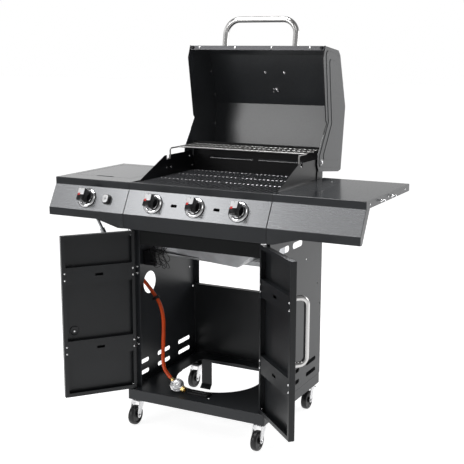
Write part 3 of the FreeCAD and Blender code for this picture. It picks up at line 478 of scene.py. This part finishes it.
NODE_LOOKS = {
    CHARCOAL: ["base_tray", "left_side_panel", "right_side_panel", "main_fascia", "side_burner"],
    SHELF: ["left_shelf", "right_shelf", "side_burner_lid"],
    DOOR: ["left_door", "right_door", "back_panel", "cylinder_strap", "lid_hinge_brackets"],
    ENAMEL: ["lid_shell"],
    INNER: ["firebox_left_wall", "firebox_right_wall"],
    SHADED: ["front_rail"],
    STEEL: ["left_control_panel", "main_control_panel", "right_front_panel"],
    FIREBOX: ["firebox_shell"],
    GALVANISED: ["grease_tray", "gas_manifold", "emitters"],
    WIRE: ["warming_rack"],
    BURNER: ["burners"],
    PLASTIC: ["cylinder_retainer", "igniter_module"],
    ZINC: ["door_hinge_pins"],
    BRASS: ["valve_plug_left", "valve_plug_burner_left", "valve_plug_burner_middle",
            "valve_plug_burner_right"],
}


def paint_nodes():
    """Give each CAD node that stays its own look."""
    for look, nodes in NODE_LOOKS.items():
        for node in nodes:
            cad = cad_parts[node]
            if not cad.data.materials:
                cad.data.materials.append(look)
            for place in cad.material_slots:
                place.material = look


paint_nodes()


# ---------------------------------------------------------------- controls

SLOPE_MIDDLE = mm(0, -248, 864.5)
SLOPE_NORMAL = Vector((0, -87, 48)).normalized()
SLOPE_UP = Vector((0, 48, 87)).normalized()
KNOBS = {"left": -471.0, "burner_left": -176.0, "burner_middle": 0.0, "burner_right": 176.0}


def slope_axes(across):
    """A place on the console's slope, this many millimetres right of the middle."""
    return axes_at(SLOPE_MIDDLE + Vector((across * MM, 0, 0)), SLOPE_NORMAL, SLOPE_UP)


def make_knob(name, across):
    """A round skirt with a wedge grip, a silver inlay, a red mark and a pointer line."""
    place = slope_axes(across)
    body = "knob_" + name
    knob = Piece()
    knob.lathe([(0, 0.005), (0.0265, 0.005), (0.0265, 0.0092), (0.0256, 0.0112), (0.0240, 0.0118),
                (0.0228, 0.0112), (0, 0.0112)], place, 64)
    sides = ((14.2, 23.6, 5.0, 11.0), (14.6, 24.4, 5.0, 24.0), (14.9, 24.9, 5.0, 38.0),
             (15.0, 25.0, 5.0, 45.6), (14.4, 24.4, 4.6, 47.4), (13.2, 23.2, 3.6, 48.0))
    knob.stack([(rounded_outline(x * MM, y * MM, r * MM), up * MM) for x, y, r, up in sides], place)
    knob.lathe([(0, -0.038), (0.003, -0.038), (0.003, 0.006), (0, 0.006)], place)
    knob = knob.done(body + "_visual", body, KNOB, [body])
    # A chrome line on the drum's top edge: a painted highlight on the black bevel.
    bevel_highlight = Piece()
    bevel_highlight.lathe([(0.0232, 0.0113), (0.0238, 0.0124), (0.0248, 0.0124), (0.0254, 0.0113),
                (0.0232, 0.0113)], place, 64)
    bevel_highlight.done(body + "_trim", body, CHROME)
    inlay = Piece()
    inlay.slab(rounded_outline(0.0134, 0.0124, 0.0032, centre=(0.0, 0.0108)), 0.0478, 0.0484, place,
               0.0002)
    inlay.done(body + "_inlay", body, POINTER)
    mark = Piece()
    flame = [(-0.0126, -0.0056), (-0.0036, -0.0050), (-0.0012, 0.0002), (-0.0034, -0.0004),
             (-0.0030, 0.0060), (-0.0068, 0.0022), (-0.0104, 0.0044)]
    mark.slab(flame, 0.0483, 0.0486, place)
    mark.done(body + "_mark", body, RED)
    line = Piece()
    line.slab([(-0.0008, 0.0186), (0.0008, 0.0186), (0.0008, 0.0226), (-0.0008, 0.0226)],
              0.0483, 0.0486, place)
    line.done(body + "_line", body, PRINT)


def make_bezels():
    """Domed chrome rings, each in a black base ring, with ticks round the inner edge."""
    rings = Piece()
    bases = Piece()
    ticks = Piece()
    for across in KNOBS.values():
        place = slope_axes(across)
        rings.lathe([(0.0276, 0.0020), (0.0374, 0.0020), (0.0378, 0.0034), (0.0372, 0.0052),
                     (0.0354, 0.0068), (0.0326, 0.0082), (0.0304, 0.0089), (0.0290, 0.0090),
                     (0.0278, 0.0084), (0.0276, 0.0020)], place, 72)
        bases.lathe([(0.0275, 0.0013), (0.0383, 0.0013), (0.0388, 0.0026), (0.0386, 0.0044),
                     (0.0377, 0.0052), (0.0360, 0.0026), (0.0275, 0.0026), (0.0275, 0.0013)],
                    place, 72)
        for n in range(19):
            turn = math.radians(90 - 12 * n)
            spot = place @ Vector((0.0304 * math.cos(turn), 0.0304 * math.sin(turn), 0.0))
            along = (spot - place.translation).normalized()
            width = 0.0002 + 0.00003 * n
            ticks.slab(rectangle(width, 0.0015), 0.0080, 0.0092,
                       axes_at(spot, SLOPE_NORMAL, along))
    rings.done("bezel_rings", "cart", CHROME, ["knob_bezels"])
    bases.done("bezel_bases", "cart", KNOB)
    ticks.done("bezel_ticks", "cart", PRINT)


def make_button():
    """The ignition button: a tall oval cap with a silver face, in a black frame."""
    place = slope_axes(-378.0)
    frame_ring = Piece()
    outer, inner = ((16.0, 19.5, 12.0), (13.9, 17.4, 10.4))
    levels = ((inner, 1.3), (outer, 1.3), (outer, 4.6), (inner, 5.5), (inner, 1.3))
    rings = [[frame_ring.mesh.verts.new(place @ Vector((x, y, up * MM))) for x, y in
              rounded_outline(*[v * MM for v in shape])] for shape, up in levels]
    frame_ring.skin(rings)
    bmesh.ops.remove_doubles(frame_ring.mesh, verts=frame_ring.mesh.verts, dist=1e-6)
    frame_ring.done("button_frame", "cart", KNOB)
    cap = Piece()
    sides = ((13.5, 17.0, 10.0, 4.6), (13.5, 17.0, 10.0, 14.5), (13.1, 16.6, 9.7, 16.6),
             (12.2, 15.7, 8.8, 17.8), (11.2, 14.7, 7.8, 18.0))
    cap.stack([(rounded_outline(x * MM, y * MM, r * MM), up * MM) for x, y, r, up in sides], place)
    cap.lathe([(0, -0.014), (0.011, -0.014), (0.011, 0.005), (0, 0.005)], place)
    cap = cap.done("ignition_button_visual", "ignition_button", KNOB, ["ignition_button"])
    face = Piece()
    face.slab(rounded_outline(0.0114, 0.0149, 0.0080), 0.0179, 0.0184, place, 0.0002)
    face.done("ignition_face", "ignition_button", POINTER)
    spark = Piece()
    bolt = [(0.001, 0.006), (-0.004, -0.001), (-0.0005, -0.001), (-0.001, -0.006), (0.004, 0.001),
            (0.0005, 0.001)]
    spark.slab(bolt, 0.0183, 0.0187, place)
    spark.done("ignition_mark", "ignition_button", PRINT)


for knob_name, knob_across in KNOBS.items():
    make_knob(knob_name, knob_across)
make_bezels()
make_button()


# ---------------------------------------------------------------- lid

LID_SECTION = [(-220.6, 947.7), (-224.5, 1087.4), (-209.8, 1109.9), (-18.3, 1208.5),
               (234.7, 1211.5), (243.5, 1184.1), (251.3, 978), (228, 960), (190, 957),
               (62.8, 1024.9), (54, 1012), (-171.7, 937)]
CONTOUR = [(-223, 935), (-224, 1095), (-18, 1208), (243, 1211), (251, 958), (190, 957),
           (58, 1020)]
INNER_CONTOUR = CONTOUR[:4] + [(251, 965), (173, 965), (58, 1020)]


def inset_outline(outline, distance, radius):
    """An outline, clockwise in Y and Z, moved inward, with its corners rounded."""
    moved = []
    count = len(outline)
    for n in range(count):
        here = Vector(outline[n])
        into = (here - Vector(outline[n - 1])).normalized()
        out = (Vector(outline[(n + 1) % count]) - here).normalized()
        normal_in, normal_out = Vector((into.y, -into.x)), Vector((out.y, -out.x))
        lean = (normal_in + normal_out).normalized()
        moved.append((here + lean * distance / lean.dot(normal_in)).to_3d())
    loop = [(moved[-1] + moved[0]) / 2] + moved + [(moved[-1] + moved[0]) / 2]
    return [spot.to_2d() for spot in bar_path(loop, radius, 6)[:-1]]


def make_lid_sides():
    """End panels with two raised contours outlined by black lines of painted shade, a black strip
    of painted shade along the lower edge, and a pivot cap.
    """
    for name, side in (("left", -1), ("right", 1)):
        panel = Piece()

        def layer(outline, low, high, bevel):
            face = [panel.mesh.verts.new(lid_point(side * low, *spot)) for spot in outline]
            top = [panel.mesh.verts.new(lid_point(side * high, *spot)) for spot in outline]
            panel.skin([face, top])
            ends = [panel.mesh.faces.new(face[::-1]), panel.mesh.faces.new(top)]
            bmesh.ops.bevel(panel.mesh, geom=list(ends[1].edges), offset=bevel, segments=2,
                            affect="EDGES")

        layer(LID_SECTION, 291.5, 293.0, 0.0006)
        layer(inset_outline(CONTOUR, 17.0, 16.0), 292.9, 294.8, 0.0016)
        layer(inset_outline(INNER_CONTOUR, 46.0, 8.0), 294.7, 296.4, 0.0014)
        made = panel.done("lid_%s_panel" % name, "lid", ENAMEL, ["lid_%s_side" % name], 24.0)
        # Thin black bars round the raised contours: painted shade in the steps.
        contour_shade = Piece()
        for outline, inset, radius, high in ((CONTOUR, 16.2, 16.0, 293.0),
                                             (INNER_CONTOUR, 45.2, 8.0, 294.8)):
            loop = inset_outline(outline, inset, radius)
            contour_shade.sweep([lid_point(side * high, *spot) for spot in loop + loop[:1]], 0.0010, 8)
        contour_shade.done("lid_%s_crease" % name, "lid", INNER)
        # A black bar along the panel's lower edge: painted shade under the lid's edge.
        edge_shade = Piece()
        edge = [lid_point(side * 292.0, *spot) for spot in
                ((-221, 948), (-171.7, 937.5), (54, 1012.5), (62.8, 1024.0), (110, 999.5))]
        edge_shade.sweep(edge, 0.0022, 10)
        edge_shade.done("lid_%s_seal" % name, "lid", PLASTIC)
        pivot = Piece()
        pivot.lathe([(0, 0.0064), (0.0040, 0.0064), (0.0062, 0.0052), (0.0070, 0.0030),
                     (0.0104, 0.0026), (0.0112, 0.0016), (0.0112, 0.0), (0, 0.0)],
                    axes_at(lid_point(side * 293.0, *LID_PIVOT), Vector((side, 0, 0))), 40)
        pivot.done("lid_%s_pivot_cap" % name, "lid", ZINC)


def make_lid_fittings():
    """The bow handle, the strip along the lower front edge, screws and two bumpers."""
    handle = Piece()
    corners = [mm(-153, -222.2, 985.5), mm(-153, -328, 985.5), mm(153, -328, 985.5),
               mm(153, -222.2, 985.5)]
    path = [LID_TURN @ spot for spot in bar_path(corners, 0.058, 14)]
    handle.sweep(path, 0.012, 32)
    handle = handle.done("lid_handle_visual", "lid", TUBE, ["lid_handle"])
    strip = Piece()
    rim = [lid_point(x, y, z) for x, y, z in ((-291, -220, 946.9), (291, -220, 946.9),
                                              (291, -203.8, 946.9), (-291, -203.8, 946.9))]
    down = lid_normal(0, -1)
    low = [strip.mesh.verts.new(spot) for spot in rim]
    high = [strip.mesh.verts.new(spot + down * 0.0008) for spot in rim]
    strip.skin([low, high])
    strip.mesh.faces.new(low)
    strip.mesh.faces.new(high)
    strip.done("lid_rim_strip", "lid", RIM)
    screws = Piece()
    for across in (-248, -88, 71, 232):
        screw(screws, lid_point(across, -212, 946.2), down, 0.0052)
    for across in (-43, 43):
        screw(screws, lid_point(across, -141.3, 1143.4), lid_normal(98.6, -191.5), 0.0058)
    for side in (-1, 1):
        for y, z in ((-150, 1136), (-60, 1182), (60, 1204), (180, 1206)):
            screw(screws, lid_point(side * 287, y + 10, z - 9), Vector((-side, 0, 0)), 0.0040)
    screws.done("lid_screws", "lid", ZINC)
    bumpers = Piece()
    for across in (-280, 280):
        bumpers.lathe([(0, 0.0075), (0.0045, 0.0070), (0.0062, 0.0045), (0.0066, 0.0), (0, 0)],
                      axes_at(lid_point(across, -212, 946.1), down), 24)
    bumpers.done("lid_bumpers", "lid", PLASTIC)


def make_thermometer():
    """A dial on the outside of the lid, with its wing nut and stem inside."""
    spot = lid_point(0, -78, 1177.8)
    out = lid_normal(-98.6, 191.5)
    place = axes_at(spot, out, lid_normal(191.5, 98.6))
    case = Piece()
    case.lathe([(0, 0.0003), (0.0320, 0.0003), (0.0328, 0.0020), (0.0328, 0.0085),
                (0.0318, 0.0105), (0.0295, 0.0112), (0.0280, 0.0100), (0.0275, 0.0080),
                (0, 0.0080)], place, 64)
    case.lathe([(0, -0.034), (0.0025, -0.0335), (0.0030, -0.032), (0.0030, -0.002), (0, -0.002)],
               place, 16)
    case.lathe([(0.003, -0.0065), (0.0075, -0.0065), (0.0075, -0.0022), (0.003, -0.0022)], place, 6)
    wing = [(0.004, -0.0015), (0.012, -0.0025), (0.0135, 0), (0.012, 0.0025), (0.004, 0.0015)]
    for turn in (0.5, 0.5 + math.pi):
        case.slab(wing, -0.0130, -0.0035, place @ Matrix.Rotation(turn, 4, "Z"), 0.0008)
    case = case.done("thermometer_case", "lid", CHROME, ["lid_thermometer"])
    face = Piece()
    face.lathe([(0, 0.0082), (0.0272, 0.0082), (0.0272, 0.0078), (0, 0.0078)], place, 48)
    face.done("thermometer_face", "lid", DIAL)
    marks = Piece()
    for n in range(25):
        turn = math.radians(225 - 270 * n / 24)
        spot = place @ Vector((0.0235 * math.cos(turn), 0.0235 * math.sin(turn), 0.0))
        along = (spot - place.translation).normalized()
        half = 0.0022 if n % 4 == 0 else 0.0012
        marks.slab(rectangle(0.0003, half), 0.0080, 0.0085, axes_at(spot, out, along))
    marks.slab([(-0.0008, -0.004), (0.0008, -0.004), (0.0003, 0.019), (-0.0003, 0.019)],
               0.0085, 0.0090, place @ Matrix.Rotation(math.radians(130), 4, "Z"))
    marks.done("thermometer_marks", "lid", PRINT)


make_lid_sides()
make_lid_fittings()
make_thermometer()


# ---------------------------------------------------------------- doors

GRIP_HEIGHTS = (392, 622)
BRACE_HEIGHTS = (325, 605)


def make_door_fittings():
    """Bow handles, dished bosses inside and screws, placed on the closed doors and turned open."""
    for name, side, opening in (("left", -1, -129.0), ("right", 1, 137.0)):
        body = name + "_door"
        turn = turned_about(mm(side * 275, -252, 0), opening, "Z")
        grip = side * 54.0
        low, high = GRIP_HEIGHTS
        corners = [mm(grip, -265.1, low), mm(grip, -321, low), mm(grip, -321, high),
                   mm(grip, -265.1, high)]
        handle = Piece()
        handle.sweep([turn @ spot for spot in bar_path(corners, 0.026, 10)], 0.0095, 28)
        handle = handle.done(name + "_door_handle_visual", body, TUBE, [name + "_door_handle"])
        inward = turn.to_3x3() @ Vector((0, 1, 0))
        bosses = Piece()
        screws = Piece()
        for up in GRIP_HEIGHTS:
            spot = turn @ mm(grip, -263.7, up)
            bosses.lathe([(0.0195, -0.0004), (0.0185, 0.0018), (0.0165, 0.0022), (0.0145, 0.0008),
                          (0.0100, 0.0002), (0.0060, 0.0002), (0.0055, 0.0020), (0, 0.0022)],
                         axes_at(spot, inward), 40)
            screw(screws, spot + inward * 0.0020, inward, 0.0048)
        for up in BRACE_HEIGHTS:
            for shift in (-13, 13):
                for across in (side * 19, side * 279):
                    screw(screws, turn @ mm(across, -242.9, up + shift), inward, 0.0040)
        bosses.done(name + "_door_bosses", body, DOOR)
        screws.done(name + "_door_screws", body, ZINC)


make_door_fittings()


# ---------------------------------------------------------------- casters

CASTERS = {"front_left": (-261, -244), "front_right": (261, -244), "rear_left": (-261, 211),
           "rear_right": (261, 211)}
TRAIL = 18.0
AXLE_HEIGHT = 37.5
SIDEWAYS = Vector((1, 0, 0))


def make_caster(name, across, back):
    """A pressed fork on its stem, a wheel trailing behind it and, at the rear, a brake pedal."""
    place = Matrix.Translation(mm(across, back, 0))
    fork = Piece()
    fork.lathe([(0, 0.0985), (0.0200, 0.0985), (0.0215, 0.0965), (0.0200, 0.0945), (0.0165, 0.0940),
                (0.0165, 0.0925), (0, 0.0925)], place, 40)
    fork.lathe([(0.0055, 0.096), (0.0055, 0.122), (0.0045, 0.123), (0, 0.123)], place, 24)
    crown = rounded_outline(0.0190, 0.0175, 0.006)
    fork.slab([(x, y + 0.001) for x, y in crown], 0.0885, 0.0930, place, 0.0012)
    leg = [(-TRAIL - 9.5, 37), (-TRAIL - 8.6, 33), (-TRAIL - 5, 29.2), (-TRAIL, 28),
           (-TRAIL + 5, 29.2), (-TRAIL + 8.6, 33), (-TRAIL + 10.5, 40), (-TRAIL + 19, 62),
           (13, 76), (18, 88), (17, 91.5), (-15, 91.5), (-16.5, 84), (-TRAIL - 8, 62),
           (-TRAIL - 9.8, 48)]
    for shift in (-19.0, 16.0):
        wall = axes_at(mm(across + shift, back, 0), SIDEWAYS)
        fork.slab([(y * MM, z * MM) for y, z in leg], 0.0, 0.003, wall, 0.0007)
    for side in (-1, 1):
        nut = axes_at(mm(across + side * 19, back - TRAIL, AXLE_HEIGHT), SIDEWAYS * side)
        fork.lathe([(0, 0.0034), (0.0048, 0.0034), (0.0062, 0.0024), (0.0066, 0.0), (0, 0.0)],
                   nut, 6)
    axle = axes_at(mm(across, back - TRAIL, AXLE_HEIGHT), SIDEWAYS)
    fork.lathe([(0, -0.0165), (0.004, -0.0165), (0.004, 0.0165), (0, 0.0165)], axle, 20)
    fork = fork.done("fork_%s_visual" % name, "caster_" + name, ZINC, ["fork_" + name])
    rim = [(0.00405, 0.015), (0.0095, 0.015), (0.0110, 0.0140), (0.0112, 0.0095), (0.0150, 0.0080),
           (0.0250, 0.0080), (0.0275, 0.0105), (0.0290, 0.0118), (0.0320, 0.0120), (0.0350, 0.0108),
           (0.0368, 0.0080), (0.0375, 0.0040)]
    wheel = Piece()
    wheel.lathe(rim + [(radius, -height) for radius, height in rim[::-1]] + rim[:1], axle, 64)
    wheel = wheel.done("wheel_%s_visual" % name, "wheel_" + name, TYRE, ["wheel_" + name])
    if name.startswith("rear"):
        pedal = Piece()
        tread = axes_at(mm(across, back + 12, 82), SIDEWAYS)
        section = [(-3, -3), (16, -6.5), (34, -11), (35, -9), (33, -6), (18, -1), (5, 3), (-3, 3)]
        pedal.slab([(y * MM, z * MM) for y, z in section], -0.012, 0.012, tread, 0.0008)
        pedal.lathe([(0, -0.0158), (0.004, -0.0158), (0.004, 0.0158), (0, 0.0158)], tread, 20)
        pedal = pedal.done("brake_pedal_%s_visual" % name, "brake_" + name, PLASTIC,
                           ["brake_pedal_" + name])


for caster_name, (caster_across, caster_back) in CASTERS.items():
    make_caster(caster_name, caster_across, caster_back)


# ---------------------------------------------------------------- cart details

GRATE_BARS = 16
GRATE_PITCH = 18.133


def make_grates():
    """Cast grates: bars with rounded tops, tied by cross bars in a lighter copy of the iron, a
    painted glint.
    """
    for name, start in (("left", -282.0), ("right", 3.0)):
        bars = Piece()
        ties = Piece()
        length = 220.0 * MM
        for n in range(GRATE_BARS):
            place = Matrix.Translation(mm(start + 3.5 + n * GRATE_PITCH, 16, 0))
            levels = ((2.6, 922.0), (3.5, 925.5), (3.5, 929.0), (2.9, 930.9), (1.5, 932.0))
            bars.stack([(rectangle(half * MM, length), up * MM) for half, up in levels], place)
        for back in (-199.0, -30.0, 105.0, 231.0):
            section = ((-4.0, 916.0), (-4.0, 926.0), (-3.2, 929.2), (-1.4, 930.8), (1.4, 930.8),
                       (3.2, 929.2), (4.0, 926.0), (4.0, 916.0))
            ends = []
            for across in (start, start + 279.0):
                ends.append([ties.mesh.verts.new(mm(across, back + y, z)) for y, z in section])
            ties.skin(ends)
            for end in ends:
                ties.mesh.faces.new(end)
        made = bars.done("grate_%s_bars" % name, "cart", IRON, ["grate_" + name], 60.0)
        # The cross bars carry the painted glint.
        tied = ties.done("grate_%s_ties" % name, "cart", GLINT, (), 60.0)


def make_cart_screws():
    """Screws on the door braces, base tray, firebox walls and shelf skirts."""
    screws = Piece()
    for side in (-1, 1):
        for up in (618, 593, 339, 314):
            screw(screws, mm(side * 262, -230.2, up), FRONTWARD)
        for up in (165, 155):
            screw(screws, mm(side * 278, -230.2, up), FRONTWARD, 0.0034)
        outward = Vector((side, 0, 0))
        for y, z in ((28, 962), (61, 962), (208, 990), (232, 950)):
            screw(screws, mm(-side * 285.7, y, z), outward, 0.0040)
        for y in (-190, 0, 190):
            screw(screws, mm(side * 635.1, y, 920), outward, 0.0030)
    screw(screws, mm(362.4, 149.7, 934.1), Vector((0, 0, 1)), 0.0036)
    screws.done("cart_screws", "cart", ZINC)


def make_hooks():
    """Two turned pegs for tools on the right shelf's outer skirt."""
    hooks = Piece()
    for back in (-77, 40):
        hooks.lathe([(0, 0), (0.0058, 0), (0.0052, 0.0016), (0.0032, 0.0026), (0.0028, 0.0060),
                     (0.0028, 0.0100), (0.0038, 0.0125), (0.0060, 0.0138), (0.0060, 0.0152),
                     (0.0050, 0.0160), (0, 0.0160)], axes_at(mm(635, back, 917), SIDEWAYS), 24)
    hooks.done("tool_hooks_visual", "cart", CHROME, ["tool_hooks"])


def smooth_line(points, steps=8):
    """A soft line through points in millimetres (Catmull-Rom)."""
    spots = [mm(*point) for point in points]
    spots = [2 * spots[0] - spots[1]] + spots + [2 * spots[-1] - spots[-2]]
    line = []
    for a, b, c, d in zip(spots, spots[1:], spots[2:], spots[3:]):
        for n in range(steps):
            t = n / steps
            line.append(0.5 * (2 * b + (c - a) * t + (2 * a - 5 * b + 4 * c - d) * t * t
                               + (3 * b - a - 3 * c + d) * t * t * t))
    return line + [spots[-2]]


SEAM_ACROSS = 294.0


def make_seams():
    """Dark joints where the two shelves meet the main console, down the slope and the fascia."""
    seams = Piece()
    for side in (-1, 1):
        across = side * SEAM_ACROSS
        front = axes_at(mm(across, -272.0, 795), FRONTWARD)
        band = axes_at(mm(across, -224.0, 921), FRONTWARD)
        seams.slab(rectangle(0.0022, 0.0484), 0.0001, 0.0006, slope_axes(across))
        seams.slab(rectangle(0.0014, 0.027), -0.0002, 0.0002, front)
        seams.slab(rectangle(0.0012, 0.012), -0.0002, 0.0002, band)
    seams.done("console_seams", "cart", INNER)


def make_slit_lip_highlights():
    """The folded lower edges of the two long vent slits in the cooking box's rear wall, made in
    bright zinc: a real edge carrying a painted highlight.
    """
    lips = Piece()
    for across in (-208, 12):
        lips.sweep([mm(across, 243.4, 984.2), mm(across + 196, 243.4, 984.2)], 0.0013, 8)
    lips.done("slit_lip_highlights", "cart", ZINC)


def make_tray_lips():
    """Folded strips that close the corner between the base tray and the side and back panels."""
    lips = Piece()
    top = Matrix.Translation(mm(0, 0, 139.6))
    for side in (-1, 1):
        strip = [(side * 0.2798, -0.226), (side * 0.2893, -0.226),
                 (side * 0.2893, 0.2494), (side * 0.2798, 0.2494)]
        lips.slab(strip[::side], 0.0, 0.0034, top, 0.0008)
    lips.slab([(-0.2798, 0.2400), (0.2798, 0.2400), (0.2798, 0.2496), (-0.2798, 0.2496)],
              0.0, 0.0034, top, 0.0008)
    lips.done("tray_lips", "cart", DOOR)


def make_hopper_lip():
    """The folded lip and its shadow line along the hopper's lower front edge."""
    left, right = mm(-283, -50, 636.8), mm(69.5, -50, 612.1)
    along = (right - left).normalized()
    outward = Vector((0.0, -0.83, -0.56))
    place = axes_at((left + right) / 2, outward, outward.cross(along))
    half = (right - left).length / 2
    lip = Piece()
    lip.slab([(-half, 0.0), (half, 0.0), (half, 0.0105), (-half, 0.0105)],
             0.0002, 0.0024, place, 0.0006)
    lip.done("hopper_lip", "cart", GALVANISED)
    # A black strip just above the lip: the painted shadow line.
    shadow_line = Piece()
    shadow_line.slab([(-half, 0.0106), (half, 0.0106), (half, 0.0136), (-half, 0.0136)],
              0.0001, 0.0008, place)
    shadow_line.done("hopper_fold", "cart", PLASTIC)


def make_leads():
    """Black leads that loop out of the igniter module and up to the burners, and a thin pipe."""
    routes = (
        ((-229, -142, 648), (-210, -150, 655), (-192, -152, 640), (-185, -150, 622),
         (-200, -148, 612), (-222, -152, 618), (-236, -156, 640), (-236, -148, 690),
         (-230, -140, 740)),
        ((-229, -138, 640), (-205, -146, 632), (-178, -150, 628), (-168, -148, 640),
         (-184, -142, 655), (-210, -138, 690), (-215, -135, 745)),
        ((-229, -130, 630), (-208, -140, 618), (-190, -146, 606), (-172, -146, 604),
         (-180, -140, 616), (-205, -134, 640), (-200, -130, 690), (-190, -128, 745)),
        ((-240, -150, 630), (-236, -160, 612), (-222, -160, 604), (-206, -156, 612),
         (-212, -152, 640), (-222, -150, 665), (-228, -146, 740)),
        ((-229, -122, 650), (-200, -132, 668), (-175, -138, 690), (-120, -140, 725),
         (-60, -140, 770)),
        ((-229, -118, 620), (-214, -130, 604), (-200, -140, 598), (-186, -144, 610),
         (-192, -140, 634), (-212, -134, 660), (-222, -130, 740)),
        ((-262, -150, 655), (-255, -160, 672), (-232, -160, 676), (-214, -150, 660),
         (-224, -148, 640), (-240, -156, 648), (-250, -158, 690), (-252, -150, 745)))
    leads = Piece()
    for route in routes:
        leads.sweep(smooth_line(route), 0.0014, 8)
    leads.sweep([mm(-252, -151, 622), mm(-222, -151, 622)], 0.0040, 12)
    leads.done("igniter_leads", "cart", PLASTIC)
    pipe = Piece()
    pipe.sweep(smooth_line(((-471, -203, 841), (-471, -180, 836), (-474, -120, 842),
                            (-479, -40, 862), (-479, 20, 878), (-479, 35, 886))), 0.0030, 12)
    pipe.done("side_burner_pipe", "cart", GALVANISED)


make_grates()
make_cart_screws()
make_hooks()
make_seams()
make_slit_lip_highlights()
make_tray_lips()
make_hopper_lip()
make_leads()


# ---------------------------------------------------------------- light and floor

def ramp_along(tree, output, axis, stops):
    """Grey stops along one axis of a coordinate output, at (place, tone) pairs."""
    nodes, links = tree.nodes, tree.links
    place = nodes.new("ShaderNodeTexCoord")
    split = nodes.new("ShaderNodeSeparateXYZ")
    spread = nodes.new("ShaderNodeMapRange")
    low, high = stops[0][0], stops[-1][0]
    spread.inputs["From Min"].default_value = low
    spread.inputs["From Max"].default_value = high
    ramp = add_ramp(nodes, [((at - low) / (high - low), tone) for at, tone in stops])
    links.new(place.outputs[output], split.inputs["Vector"])
    links.new(split.outputs[axis], spread.inputs["Value"])
    links.new(spread.outputs["Result"], ramp.inputs["Fac"])
    return ramp.outputs["Color"]


def blend_colours(tree, kind, factor, first, second):
    """Blend two colour outputs by a number or by another output."""
    mix = tree.nodes.new("ShaderNodeMix")
    mix.data_type = "RGBA"
    mix.blend_type = kind
    if isinstance(factor, float):
        mix.inputs["Factor"].default_value = factor
    else:
        tree.links.new(factor, mix.inputs["Factor"])
    tree.links.new(first, mix.inputs["A"])
    tree.links.new(second, mix.inputs["B"])
    return mix.outputs["Result"]


def make_floor():
    """A pale floor that glows faintly, less so far in front of the object."""
    bpy.ops.mesh.primitive_plane_add(size=60, location=(0, 0, -0.0005))
    floor = bpy.context.object
    floor.name = "floor"
    look = material("pale_floor", (0.6, 0.6, 0.6), 0.8, variation=0.01, bump=0.0, specular=0.1)
    shader = look.node_tree.nodes["Principled BSDF"]
    glow = ramp_along(look.node_tree, "Object", "Y", [(-2.2, 0.30), (-1.0, 0.9), (0.0, 1.0)])
    look.node_tree.links.new(glow, shader.inputs["Emission Color"])
    shader.inputs["Emission Strength"].default_value = 0.86
    floor.data.materials.append(look)


def make_sky():
    """White behind the object, softer in front of it and overhead."""
    world = bpy.data.worlds.new("studio")
    bpy.context.scene.world = world
    world.use_nodes = True
    tree = world.node_tree
    left = ramp_along(tree, "Generated", "Z", [(0.0, 1.0), (0.26, 1.0), (0.48, 0.30), (1.0, 0.22)])
    right = ramp_along(tree, "Generated", "Z", [(0.0, 1.0), (0.06, 1.0), (0.12, 0.66), (0.48, 0.30),
                                                (1.0, 0.22)])
    side = ramp_along(tree, "Generated", "X", [(-0.55, 0.0), (-0.36, 1.0)])
    depth = ramp_along(tree, "Generated", "Y", [(-0.3, 0.75), (0.2, 1.0)])
    sky = blend_colours(tree, "MIX", side, left, right)
    sky = blend_colours(tree, "MULTIPLY", 1.0, sky, depth)
    tree.links.new(sky, tree.nodes["Background"].inputs["Color"])
    tree.nodes["Background"].inputs["Strength"].default_value = 1.0


def make_lamps():
    """Soft boxes, each at a place, aimed at a point, with its size and its power in watts."""
    for name, spot, aim, size, power in (
            ("key", (-2.07, -2.58, 3.38), (0, -0.25, 0.865), (0.92, 0.8), 3.6),
            ("left", (-2.95, -0.80, 2.85), (0, -0.2, 0.9), (1.2, 1.2), 6.5),
            ("front", (1.35, -2.35, 3.55), (0, -0.25, 0.87), (1.2, 1.2), 7.5),
            ("low", (-2.04, -3.83, 1.92), (0, 0.45, 1.11), (1.7, 0.7), 41.0),
            ("top", (-0.6, -0.3, 3.2), (0, 0, 0.9), (1.1, 1.1), 60.0),
            ("right", (2.6, 2.6, 1.6), (1.2, 1.8, 0.0), (1.4, 1.4), 40.0)):
        data = bpy.data.lights.new(name, "AREA")
        data.shape = "RECTANGLE"
        data.size, data.size_y = size
        data.energy = power
        lamp = bpy.data.objects.new(name, data)
        bpy.context.collection.objects.link(lamp)
        lamp.location = spot
        lamp.rotation_euler = (Vector(aim) - Vector(spot)).to_track_quat("-Z", "Y").to_euler()
        lamp.visible_camera = False


make_floor()
make_sky()
make_lamps()
bpy.context.scene.view_settings.view_transform = "Standard"
